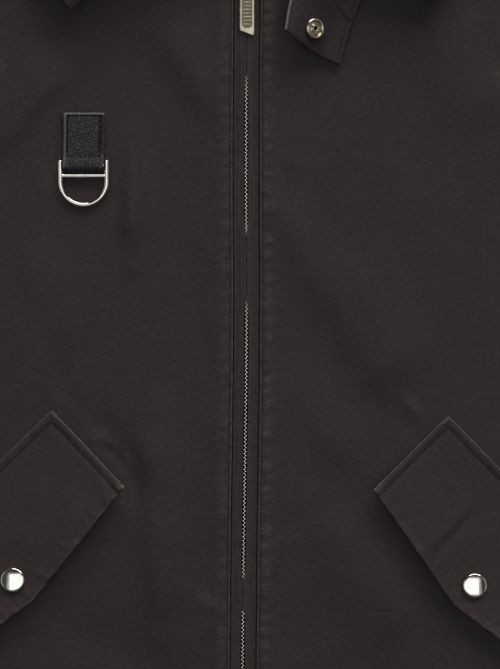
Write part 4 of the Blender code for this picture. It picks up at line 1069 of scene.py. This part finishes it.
def make_flap(name):
    inset = FLAP_STITCH_INSET
    first, middle, last = stops(FLAP_LENGTH, FLAP_STEP, inset, inset)
    along = joined(FLAP_LENGTH, first, middle, last)
    top, between, bottom = stops(FLAP_DEPTH, FLAP_STEP, inset, inset)
    depth = flap_depth(name, along)
    count = len(between) + 2
    inner = [np.linspace(top[-1], d - bottom[-1], count)[1:-1] for d in depth]
    down = np.array([joined(d, top, row, bottom) for d, row in zip(depth, inner)])
    aa = np.repeat(along[:, None], down.shape[1], axis=1)
    x, y = flap_xy(name, aa, down)
    grid = np.stack([x, y, flap_skin(name, aa, down)], axis=2)
    low = depth[:, None] - down
    edge = np.minimum(np.minimum(aa, FLAP_LENGTH - aa), np.minimum(down, low))
    # Painted highlights, partly rubbed wear: a pale line on the edges, pale blobs at the seam corners, pale
    # puffs along the crinkled free edge
    corners = bell(np.hypot(aa, low), 3.2) + bell(np.hypot(FLAP_LENGTH - aa, low), 3.2)
    puffs = bell(low - 3.5, 4) * np.clip(lumps(aa, low * 0.4, height=2, size=4.6, seed=61.5), 0, 1)
    painted_light_and_wear = 0.8 * decay(edge, 0.5) * np.where(low < 3, 0.55, 1.0)
    painted_light_and_wear = np.clip(painted_light_and_wear + 0.5 * corners + 0.14 * puffs, 0, 1)
    uv = np.stack([aa, down], axis=2) * MM
    obj, _ = shell("pocket_flap_" + name, grid, FLAP_CLOTH, COTTON, up=True, painted_light_and_wear=painted_light_and_wear, uv=uv)
    put_cloth(obj, ["pocket_flap_" + name])
    a, d = first.index(inset), top.index(inset)
    sew(grid[a, d:-d])
    sew(grid[-1 - a, d:-d])
    sew(grid[a:-a, d])
    sew(grid[a:-a, -1 - d] - (0, 0, 0.22))
    for end in (1.5, FLAP_LENGTH - 1.5):
        bar_tack(name, end)


TACK_TOP, TACK_FOOT, TACK_HALF, TACK_TURNS = 1.2, 6.0, 0.55, 15


def bar_tack(name, along):
    """A dense bar of stitches that holds a flap's corner."""
    turn = np.arange(TACK_TURNS)
    down = TACK_TOP + (TACK_FOOT - TACK_TOP) * turn / (TACK_TURNS - 1)
    zigzag = along + np.where(turn % 2, TACK_HALF, -TACK_HALF)
    x, y = flap_xy(name, zigzag, down)
    sew(np.column_stack([x, y, flap_skin(name, zigzag, down) + 0.1]), "tack")


# ---------------------------------------------------------------- turned metal
TURNED_SIDES = 56


def turned(name, profile, point, normal, material, nodes=()):
    """A piece turned from (radius, height) points, top to bottom, with its axis along a normal."""
    b = bmesh.new()
    turn = Vector(normal).to_track_quat("Z", "Y").to_matrix()
    angles = [2 * math.pi * k / TURNED_SIDES for k in range(TURNED_SIDES)]
    rings = []
    for radius, height in profile:
        ring = [(radius * math.cos(a), radius * math.sin(a), height) for a in (angles if radius else [0.0])]
        rings.append([b.verts.new((turn @ Vector(corner) + Vector(point)) * MM) for corner in ring])
    bridge(b, rings)
    finish_piece(link(name, mesh_of(b, name, 50)), material, BODY, nodes)


def flap_snap(name):
    """Where a flap's snap sits on its upper face, and which way that face looks there."""
    (along, down), step = snap_place(name), 4.0

    def top(a, d):
        x, y = flap_xy(name, a, d)
        return Vector((x, y, float(flap_bottom(name, np.array(a), np.array(d))) + FLAP_CLOTH))

    across = top(along + step, down) - top(along - step, down)
    normal = across.cross(top(along, down + step) - top(along, down - step)).normalized()
    return top(along, down), normal if normal.z > 0 else -normal


CAP_SEAT = 0.45  # the cap's rim stands this far off the cloth
CAP_RIM = [  # share of the radius, height
    (0.92, 0.72 * CAP_HEIGHT), (0.965, 0.54 * CAP_HEIGHT), (0.995, 0.8), (1.0, 0.42), (0.99, 0.12),
    (0.95, -0.1), (0, -0.1),
]


def make_caps():
    """The flaps' snap caps: shallow polished domes with a rolled rim."""
    dome = [(t, CAP_HEIGHT * (1 - 0.26 * t * t)) for t in np.linspace(0, 0.86, 12)]
    profile = [(CAP_RADIUS * share, height) for share, height in dome + CAP_RIM]
    for name in FLAP_PLACES:
        point, normal = flap_snap(name)
        seat = point + normal * CAP_SEAT
        turned("snap_cap_dome_" + name, profile, seat, normal, NICKEL, ["snap_cap_" + name])


# ---------------------------------------------------------------- ring and leather tab
TUBE_SIDES = 20


def tube_mesh(name, paths):
    """Round bars along paths of (x, y, z, radius), in millimetres about the ring's axis."""
    b = bmesh.new()
    angles = [2 * math.pi * k / TUBE_SIDES for k in range(TUBE_SIDES)]
    for path in paths:
        centres = [Vector(p[:3]) for p in path]
        rings = []
        for i, centre in enumerate(centres):
            ahead = (centres[min(i + 1, len(centres) - 1)] - centres[max(i - 1, 0)]).normalized()
            right = ahead.cross(Vector((0, 0, 1))).normalized()
            up = right.cross(ahead)
            ring = [(right * math.cos(a) + up * math.sin(a)) * path[i][3] for a in angles]
            rings.append([b.verts.new(centre + spoke) for spoke in ring])
        bridge(b, rings)
        b.faces.new(rings[0][::-1])
        b.faces.new(rings[-1])
    return mesh_of(b, name, 50)


WIRE_TIP = [(0, 0.45), (0.18, 0.75), (0.5, 0.95), (0.9, 1.0)]  # down from the tip, share of the wire's radius
PIN_INSIDE, PIN_TIP = 11.0, 0.45  # half the pin's thick part, and its radius out at the wire


def make_ring():
    """The D: one round wire with rounded ends, a cross bar, and the pin that the leather folds round."""
    axis, w, half = joint_axis("ring_swing"), RING_WIRE, RING_HALF
    lowest = float(front_top(RING_X, RING_FOOT_Y)) + RING_WIRE + 0.5
    slope = math.degrees(math.asin((axis.z - lowest) / (RING_HALF - RING_ARC_CENTRE)))
    turn = np.linspace(0, -math.pi, 64)
    arc = [(half * math.cos(a), RING_ARC_CENTRE + half * math.sin(a), 0, w) for a in turn]
    leg = [(half, RING_LEG_TOP + w * 0.35 - d, 0, w * share) for d, share in WIRE_TIP]
    leg += [(half, y, 0, w) for y in np.linspace(1.5, RING_ARC_CENTRE + 1, 6)]
    other = [(-x, y, z, r) for x, y, z, r in leg[::-1]]
    bar = [(x, RING_BAR, 0, PIN_RADIUS) for x in np.linspace(-half, half, 9)]
    pin = [(x, 0, 0, PIN_RADIUS if abs(x) < PIN_INSIDE else PIN_TIP) for x in np.linspace(-half, half, 15)]
    mesh = tube_mesh("ring_wire", [leg + arc + other, bar, pin])
    mesh.transform(on_joint(axis, slope))
    finish_piece(link("ring_wire", mesh), NICKEL, RING_BODY, ["ring"])


STITCHED_BOX = (-108.7, 98.6, -88.8, 123.4)  # the stitched rectangle on the leather: x, y of two corners


def box_depth(x, y):
    """How far a point is inside the stitched box, negative outside."""
    x0, y0, x1, y1 = STITCHED_BOX
    return np.minimum(np.minimum(x - x0, x1 - x), np.minimum(y - y0, y1 - y))


def leather_height(x, y):
    """Relief of the leather's face: plump inside the stitched box, drawn in along it."""
    inside = box_depth(x, y)
    plump = 0.55 * smooth(inside / 5.0) * (inside > 0)
    return plump - 0.6 * bell(inside, 0.8) + lumps(x, y, height=0.07, size=6.0, seed=71.5)


TAB_OUTER = PIN_RADIUS + PIN_CLEARANCE + LEATHER
# The leather's face, from its top end to the pin
TAB_FACE = [  # distance from the pin's axis, drop below the highest point
    (TAB_LENGTH, 3.2), (22, 3.2), (13, 3.2), (9, 3.15), (6.6, 2.95), (5.0, 2.3), (3.4, 1.2), (1.6, 0.25),
]
TAB_UNDER = [6, 14, 22, TAB_LENGTH + 0.6]
TAB_POINT_STEP, TAB_FADE_POINTS = 0.7, 8.0
UNDER_SKEW, TAB_LEAN = -1.7, 0.014  # the under layer shows beside the face, and the tab leans a little


def between_points(a, b, count):
    """Points from a to b, without b."""
    return [tuple(np.array(a) + (np.array(b) - a) * t) for t in np.linspace(0, 1, count)[:-1]]


def tab_path():
    """The middle of the leather seen from its side, and how many of the points are on its face."""
    middle = TAB_OUTER - LEATHER / 2
    top = [(y, TAB_OUTER - drop - LEATHER / 2) for y, drop in TAB_FACE]
    turn = [(middle * math.cos(a), middle * math.sin(a)) for a in np.radians(np.linspace(90, 270, 25))]
    path = []
    for a, b in zip(top, top[1:]):
        path += between_points(a, b, max(2, round(abs(a[0] - b[0]) / TAB_POINT_STEP)))
    path.append(top[-1])
    face_points = len(path)
    path += turn[:-1]
    under = [turn[-1]] + [(y, -middle) for y in TAB_UNDER]
    for a, b in zip(under, under[1:]):
        path += between_points(a, b, 12)
    return np.array(path + [under[-1]]), face_points


def make_leather_tab():
    """A strip of leather, over the ring's pin and back under itself, stitched through both layers."""
    axis = joint_axis("ring_swing")
    path, face_points = tab_path()
    along, height = path[:, :1], path[:, 1:]
    across = np.linspace(-TAB_WIDTH / 2, TAB_WIDTH / 2, 42)
    over = 1 - smooth((np.arange(len(path)) - face_points) / TAB_FADE_POINTS)[:, None]
    x = RING_X + across[None, :] + UNDER_SKEW * (1 - over) * smooth(along / TAB_LENGTH)
    y = axis.y + along + 0 * x
    z = axis.z + height + leather_height(x, y) * over * smooth((along - 1.0) / 2.5)
    inside = box_depth(x, y)
    # rim: a painted highlight on the tab's edges; dark: painted shade along the stitched line and in the band
    # outside the box
    rim = 0.8 * decay(x - x[:, :1], 0.9) + 0.35 * decay(x[:, -1:] - x, 0.7)
    rim = rim + 0.6 * decay(TAB_LENGTH - along, 0.8)
    dark = np.where(inside > 0, 0.9 * bell(inside, 0.9), 0.55)
    painted_light_and_wear = np.where(rim > 0.2, rim, rim - dark * smooth((along - 6) / 3)) * over
    grid = np.stack([x + TAB_LEAN * along, y, z], axis=2)[:, ::-1]
    obj, _ = shell("ring_tab_leather", grid, LEATHER * 0.94, COW_LEATHER, centred=True, painted_light_and_wear=painted_light_and_wear[:, ::-1])
    place_piece(obj, BODY, ["ring_tab"])
    x0, y0, x1, y1 = STITCHED_BOX
    corners = [(x0, y0), (x1, y0), (x1, y1), (x0, y1), (x0, y0)]
    face = path[:face_points][::-1]
    for (xa, ya), (xb, yb) in zip(corners, corners[1:]):
        t = np.linspace(0.03, 0.97, 24)
        x, y = xa + (xb - xa) * t, ya + (yb - ya) * t
        z = axis.z + np.interp(y - axis.y, face[:, 0], face[:, 1]) + LEATHER / 2 + leather_height(x, y) - 0.05
        sew(np.stack([x + TAB_LEAN * (y - axis.y), y, z], axis=1), "leather")


# ---------------------------------------------------------------- collar
def collar_half(side):
    """The collar's sections on one side, its point slipped to where the photo has it."""
    half = []
    for k, row in enumerate(COLLAR):
        placed = {}
        for key, (x, y, z) in row.items():
            share = TIP_SHARES.get((k, key), 0.0)
            dx, dy = TIP_SLIP[side]
            placed[key] = (side * x + share * dx, y + share * dy, z or float(front_top(side * x, y)) + 1.5)
        half.append(placed)
    return half


def collar_rows(count):
    rows = collar_half(-1)[:-1] + collar_half(1)[::-1]
    return {key: spline([row[key] for row in rows], count) for key in COLLAR_KEYS}


COLLAR_ROWS, LEAF_STEP, LEAF_POINTS, STAND_POINTS = 257, 1.9, 26, 14
FOLD_TURN = np.radians(np.linspace(18, 125, 9))
BACK_SEAM_HALF = 46  # the edge stitches stop this many rows either side of the collar's middle


def leaf_row(fold, fall, edge):
    """Points from the fold down to the leaf's edge, closer together at its stitched line."""
    line = spline([fold, fall, edge], 60)
    length = np.linalg.norm(np.diff(line, axis=0), axis=1).sum()
    last = np.array(edge_rows(COLLAR_STITCH_INSET, LEAF_STEP))
    at = np.concatenate([np.linspace(0, length - last[-1], LEAF_POINTS)[1:], length - last[::-1][1:]])
    return points_along(line, at)


def make_collar():
    """The collar leaf, from inside the fold over it and down to its stitched edge, and the stand inside."""
    rows = collar_rows(COLLAR_ROWS)
    seam, fold = rows["seam"], rows["roll"]
    up = unit(fold - seam)
    out = rows["fall"] - fold
    out = unit(out - up * (up * out).sum(axis=1, keepdims=True))
    centre = fold + out * FOLD_RADIUS
    arc = [centre + FOLD_RADIUS * (up * math.sin(a) - out * math.cos(a)) for a in FOLD_TURN]
    inside = [fold - up * d for d in (LEAF_START, 3.0, 2.0, 1.0, 0.0)]
    leaf = [leaf_row(*points) for points in zip(arc[-1], rows["fall"], rows["edge"])]
    grid = np.concatenate([np.stack(inside + arc, axis=1), np.array(leaf)], axis=1)
    normals = grid_normals(grid)
    from_edge = distances(grid[:, ::-1])[0][:, ::-1]
    along = distances(grid)[1]
    close = np.minimum(from_edge, np.minimum(along, along[-1:] - along))
    inset = COLLAR_STITCH_INSET
    relief = groove(close - inset, depth=0.4) + border(close, inset, height=0.2, fade=1.2, roll=1.0)
    relief += lumps(along, from_edge * 0.35, height=0.35, size=5.5, seed=81.5) * bell(from_edge - 3, 6)
    relief += lumps(along, from_edge, height=0.5, size=26, seed=85.5) * smooth(close / 12)
    outwards = np.sign(normals[len(normals) // 8, -8, 2])
    grid = grid + normals * (relief * outwards)[:, :, None]
    grid[:, :, 2] = np.maximum(grid[:, :, 2], COLLAR_CLOTH / 2 + 0.1)
    # A painted highlight, partly rubbed wear, along the leaf's edges
    obj, _ = shell("collar_leaf", grid, COLLAR_CLOTH, COTTON, centred=True, painted_light_and_wear=0.8 * decay(close, 0.6))
    put_cloth(obj, ["collar_leaf"])
    top_face = grid + grid_normals(grid) * (COLLAR_CLOTH / 2 * outwards)
    column = -1 - edge_rows(inset, LEAF_STEP).index(inset)
    middle, end = len(grid) // 2, 12
    sew(top_face[end : middle - BACK_SEAM_HALF, column])
    sew(top_face[middle + BACK_SEAM_HALF : -end, column])
    near_edge = along[:, -6]
    for distance in (near_edge, near_edge[-1] - near_edge):
        row = int(np.argmin(np.abs(distance - inset)))
        sew(top_face[row, 14:column])
    shares = np.linspace(0, 1, STAND_POINTS)
    stand = np.stack([seam + (fold - up * (LEAF_START + 0.9) - seam) * s for s in shares], axis=1)
    obj, _ = shell("collar_stand", stand, COLLAR_CLOTH - 0.2, COTTON, centred=True)
    put_cloth(obj, ["collar_stand"])


# ---------------------------------------------------------------- throat tab
def throat_point(rows, share):
    """Where a share of the way across the tab is on each of its rows, on its underside."""
    lx, ly, lh, rx, ry, rh = (rows[:, k][:, None] for k in range(6))
    x, y = rx + (lx - rx) * share, ry + (ly - ry) * share
    return x, y, front_top(x, y) + rh + (lh - rh) * smooth((share - TAB_FLAT) / TAB_RAMP)


TAB_MESH_WIDTH, TAB_STEP = 40.0, 1.2
END_BULGE, BULGE_SHARE, BULGE_TOWARDS = 1.7, 0.2, (-0.42, -0.9)  # the tab's free end is a little round
TAB_CORNER = (53.0, 158.0)  # the crumpled corner of its free end
TAB_CREASE = ((52.0, 197.0), (64.5, 179.5))
TAB_EDGE_HIGHLIGHT = 2.4


def make_throat_tab():
    """The strap that would button the collar shut, hanging free over the chest."""
    rows, inset = spline(TAB_EDGES, 84), TAB_STITCH_INSET
    first, middle, last = stops(TAB_MESH_WIDTH, TAB_STEP, inset, inset)
    at = joined(TAB_MESH_WIDTH, first, middle, last) / TAB_MESH_WIDTH
    x, y, z = throat_point(rows, at[None, :])
    reach = np.linspace(0, 1, len(rows))[:, None]
    bulge = END_BULGE * np.sin(np.pi * at)[None, :] * (1 - smooth(reach / BULGE_SHARE))
    x, y = x + BULGE_TOWARDS[0] * bulge, y + BULGE_TOWARDS[1] * bulge
    low = np.hypot(np.diff(x, axis=0, prepend=x[:1]), np.diff(y, axis=0, prepend=y[:1])).cumsum(axis=0)
    across = at[None, :] * TAB_MESH_WIDTH + 0 * low
    side = np.minimum(across, TAB_MESH_WIDTH - across)
    edge = np.minimum(low, side)
    z = z + FLAP_CLOTH + groove(side - inset, depth=0.2, half_width=0.6)
    z = z + groove(low - inset, depth=0.15, half_width=0.6)
    z = z + border(edge, inset, height=0.06, fade=0.8, roll=0.7)
    from_corner = np.hypot(x - TAB_CORNER[0], y - TAB_CORNER[1])
    z = z + lumps(x, y, height=0.5, size=2.6, seed=98.5) * bell(from_corner, 5.0)
    z = z + lumps(across, low * 0.35, height=0.38, size=4.2, seed=91.5) * bell(low - 3, 6)
    z = z + lumps(across, low, height=0.26, size=13, seed=95.5) * smooth(edge / 5)
    crease, inside = segment(x, y, *TAB_CREASE)
    z = z + 1.3 * bell(crease, np.where(crease > 0, 1.7, 4.5)) * smooth(inside / 4)
    grid = np.stack([x, y, z], axis=2)
    # A strong painted highlight on the tab's raised left edge, and a fainter one, partly wear, round its
    # other edges
    painted_light_and_wear = TAB_EDGE_HIGHLIGHT * bell(TAB_MESH_WIDTH - across, 1.0) + 0.25 * decay(edge, 0.5)
    obj, _ = shell("throat_tab", grid, FLAP_CLOTH, COTTON, up=True, painted_light_and_wear=painted_light_and_wear)
    put_cloth(obj, ["throat_tab"])
    column, row = first.index(inset), int(np.argmin(np.abs(low[:, 10] - inset)))
    sew(grid[row:, column])
    sew(grid[row:, -1 - column])
    sew(grid[row, column:-column])


def throat_snap():
    """Where the throat snap sits on the tab's upper face, and which way that face looks there."""
    x, y, z = throat_point(spline(TAB_EDGES, 81), np.linspace(0.2, 0.9, 71)[None, :])
    i, j = np.unravel_index(np.argmin(np.hypot(x - THROAT_SNAP[0], y - THROAT_SNAP[1])), x.shape)
    points = np.stack([x, y, z], axis=2)
    here, over, up = (Vector(points[k]) for k in ((i, j), (i, j - 8), (i + 6, j)))
    normal = (over - here).cross(up - here).normalized()
    normal = normal if normal.z > 0 else -normal
    return here + normal * FLAP_CLOTH, normal


SOCKET_SEAT = 0.35
SOCKET_PROFILE = [  # radius, height: the hole's floor, the raised collar, the dished ring and the rolled rim
    (0, 0.15), (0.95, 0.15), (1.12, 0.3), (1.2, 1.35), (1.45, 1.62), (2.0, 1.72), (2.5, 1.5), (2.7, 0.9),
    (3.1, 0.6), (3.7, 0.6), (4.1, 1.2), (4.35, 1.62), (4.8, 1.95), (5.4, 2.05), (5.95, 1.85), (6.3, 1.4),
    (SOCKET_RADIUS, 0.9), (SOCKET_RADIUS, 0.3), (SOCKET_RADIUS * 0.95, 0.0), (0, -0.05),
]
HOLE_PROFILE = [(0, 1.15), (0.6, 1.1), (1.18, 1.25), (1.18, 0.7), (0, 0.7)]


def make_throat_snap():
    """A ring-spring socket: a rolled rim, a dished ring, a raised collar, and a hole whose near-black floor
    is painted shade.
    """
    point, normal = throat_snap()
    seat = point + normal * SOCKET_SEAT
    turned("throat_snap_rings", SOCKET_PROFILE, seat, normal, BRASS, ["throat_snap_socket"])
    turned("throat_snap_hole", HOLE_PROFILE, seat, normal, HOLE_SHADE)


# ---------------------------------------------------------------- zip pull
PULL_WIDTH, PULL_LENGTH, PULL_THICK, PULL_DROOP = 9.0, 34.0, 1.4, 3.0
PULL_TOP, PULL_SLANT, PULL_CORNER, PULL_LEAST_CORNER = 0.9, 3.2, 1.2, 0.25
PULL_LAYERS = [(0.45, 0.0), (0.12, 0.14), (0.0, 0.42)]  # inset of the outline, distance from the face
SUNK = 0.5  # depth of the tag's sunk field
EYE_SIZE, EYE_CENTRE, EYE_CORNER = (3.8, 4.3, 6.0), (0, -2.85, 0), 0.9
FIELD_SIZE, FIELD_Y, FIELD_CORNER = (6.2, 22.5, 1.0), -18.2, 1.0
RIBS, RIB_TOP, RIB_PITCH, RIB_HALF_LENGTH, RIB_HALF_WIDTH, RIB_RISE = 9, -9.4, 2.2, 2.35, 0.5, SUNK - 0.08
PATINA = 0.85


def pull_outline(inset):
    """The tag's outline about its axis, moved in by inset: its foot slants, its corners are round."""
    half, bottom, top = PULL_WIDTH / 2 - inset, -PULL_LENGTH + inset, PULL_TOP - inset
    r = max(PULL_LEAST_CORNER, PULL_CORNER - inset * 0.7)
    corners = [  # centre x and y, first and last angle, points
        (half - r, bottom + r + 0.15, 0, -105, 9), (-half + r, bottom + PULL_SLANT + r * 0.6, -112, -180, 9),
        (-half + r, top - r, 180, 90, 7), (half - r, top - r, 90, 0, 7),
    ]
    outline = []
    for cx, cy, a0, a1, count in corners:
        turn = np.radians(np.linspace(a0, a1, count))
        outline += [(cx + r * math.cos(a), cy + r * math.sin(a)) for a in turn]
    return outline


def pull_plate():
    """The tag before its eye and its sunk field are cut."""
    b = bmesh.new()
    half = PULL_THICK / 2
    layers = [(inset, d - half) for inset, d in PULL_LAYERS]
    layers += [(inset, -z) for inset, z in layers[::-1]]
    rings = [[b.verts.new((x, y, z)) for x, y in pull_outline(inset)] for inset, z in layers]
    bridge(b, rings)
    b.faces.new(rings[0])
    b.faces.new(rings[-1])
    return link("zip_pull_tag", mesh_of(b, "zip_pull_tag"))


def cut_block(tag, size, centre, corner):
    """Takes a block with four rounded upright edges out of the tag."""
    b = bmesh.new()
    bmesh.ops.create_cube(b, size=1.0)
    bmesh.ops.scale(b, vec=size, verts=b.verts)
    bmesh.ops.translate(b, vec=centre, verts=b.verts)
    upright = [e for e in b.edges if abs(e.verts[0].co.z - e.verts[1].co.z) > size[2] / 2]
    bmesh.ops.bevel(b, geom=upright, offset=corner, segments=4, affect="EDGES")
    mesh = bpy.data.meshes.new("cut")
    b.to_mesh(mesh)
    b.free()
    block = link("cut", mesh)
    modifier = tag.modifiers.new("cut", "BOOLEAN")
    modifier.operation = "DIFFERENCE"
    modifier.object = block
    bpy.context.view_layer.update()
    cut = bpy.data.meshes.new_from_object(tag.evaluated_get(bpy.context.evaluated_depsgraph_get()))
    tag.modifiers.clear()
    tag.data = cut
    bpy.data.objects.remove(block)


def add_ribs(b, floor):
    """Plain ribs across the sunk field, a little lower than the border."""
    w, rise = RIB_HALF_WIDTH, RIB_RISE
    outline = [(-w, 0), (-w * 0.6, rise * 0.8), (0, rise), (w * 0.6, rise * 0.8), (w, 0)]
    for k in range(RIBS):
        y = RIB_TOP - RIB_PITCH * k
        left = [b.verts.new((-RIB_HALF_LENGTH, y + dy, floor - 0.02 + dz)) for dy, dz in outline]
        right = [b.verts.new((RIB_HALF_LENGTH, y + dy, floor - 0.02 + dz)) for dy, dz in outline]
        bridge(b, [left, right])
        b.faces.new(left)
        b.faces.new(right[::-1])
        fresh = {f for v in left + right for f in v.link_faces}
        bmesh.ops.recalc_face_normals(b, faces=list(fresh))


def make_pull():
    """The slider's tag: a plate with a rounded border, plain ribs in a sunk field, and an eye at the top."""
    tag = pull_plate()
    floor = PULL_THICK / 2 - SUNK
    cut_block(tag, EYE_SIZE, EYE_CENTRE, EYE_CORNER)
    cut_block(tag, FIELD_SIZE, (0, FIELD_Y, floor + FIELD_SIZE[2] / 2), FIELD_CORNER)
    b = bmesh.new()
    b.from_mesh(tag.data)
    add_ribs(b, floor)
    half = FIELD_SIZE[0] / 2 + 0.1
    patina = [PATINA if floor - 0.1 < v.co.z < floor + 0.05 and abs(v.co.x) < half else 0.0 for v in b.verts]
    b.to_mesh(tag.data)
    b.free()
    tag.data.attributes.new("patina", "FLOAT", "POINT").data.foreach_set("value", patina)
    tag.data.transform(on_joint(joint_axis("pull_swing"), PULL_DROOP))
    tag.data.shade_smooth()
    tag.data.set_sharp_from_angle(angle=math.radians(35))
    tag.data.materials.clear()
    finish_piece(tag, TAG_BRASS, PULL_BODY, ["zip_pull"])


AS_SOLIDS = {
    "zip_slider": BRASS, "zip_end_box": BRASS, "throat_snap_cap": BRASS, "snap_stud_left": NICKEL,
    "snap_stud_right": NICKEL,
}


def dress_cad():
    """The metal nodes whose solids are right as they are."""
    for name, material in AS_SOLIDS.items():
        obj = bpy.data.objects[name]
        obj.data.materials.clear()
        obj.data.materials.append(material)


# ---------------------------------------------------------------- studio
PICTURE_CENTRE, PICTURE_HEIGHT, CLOTH_LEVEL = (2.4, -9.0), 405.4, 7.0
LENS, SENSOR = 120.0, 36.0
TABLE_HALF, TABLE_DROP = 9.0, 0.0002  # metres, as are the lights' places and sizes


def make_camera():
    data = bpy.data.cameras.new("camera")
    data.lens = LENS
    data.sensor_width = SENSOR
    data.clip_end = 20.0
    camera = link("camera", data)
    distance = PICTURE_HEIGHT * LENS / SENSOR
    camera.location = (PICTURE_CENTRE[0] * MM, PICTURE_CENTRE[1] * MM, (CLOTH_LEVEL + distance) * MM)
    bpy.context.scene.camera = camera


def area_light(name, place, size, power, target=(0, 0, 0), colour="#ffffff", card=False):
    """A soft box. A card only shows in shiny things, as a white board held beside them does."""
    data = bpy.data.lights.new(name, "AREA")
    data.shape = "RECTANGLE"
    data.size, data.size_y = size
    data.energy = power
    data.color = linear(colour)[:3]
    light = link(name, data)
    light.visible_diffuse = not card
    light.visible_camera = False
    light.location = place
    light.rotation_euler = (Vector(target) - Vector(place)).to_track_quat("-Z", "Y").to_euler()


def make_studio():
    mesh = bpy.data.meshes.new("table_top")
    corners = [(x * TABLE_HALF, y * TABLE_HALF, 0) for x, y in ((-1, -1), (1, -1), (1, 1), (-1, 1))]
    mesh.from_pydata(corners, [], [(0, 1, 2, 3)])
    table = link("table_top", mesh)
    mesh.materials.append(studio_floor())
    table.location.z = -TABLE_DROP
    area_light("key", (1.2, 5.5, 2.95), (6.4, 3.0), 240.0, colour="#fffdfb")
    area_light("overhead", (0.0, -0.3, 2.3), (2.6, 1.9), 5.0)
    area_light("card_above", (0.0, -0.1, 2.6), (2.4, 1.4), 9.5, (0, -0.1, 0), card=True)
    for name, x in (("card_left", -2.4), ("card_right", 2.4)):
        area_light(name, (x, 0.2, 1.1), (2.4, 2.0), 4.0, (0, 0.1, 0), card=True)
    world = bpy.data.worlds.new("studio")
    bpy.context.scene.world = world
    world.use_nodes = True
    background = world.node_tree.nodes["Background"]
    background.inputs["Color"].default_value = linear("#e8eaee")
    background.inputs["Strength"].default_value = 0.07
    bpy.context.scene.view_settings.view_transform = "Standard"


make_camera()
make_studio()
make_back()
for side, hand in ((1, "left"), (-1, "right")):
    make_front(side, "front_" + hand)
for side, hand in ((1, "left"), (-1, "right")):
    make_strip(side, "zip_strip_" + hand)
make_teeth()
for hand in FLAP_PLACES:
    make_flap(hand)
make_caps()
make_ring()
make_leather_tab()
make_collar()
make_throat_tab()
make_throat_snap()
make_pull()
make_stitches()
dress_cad()
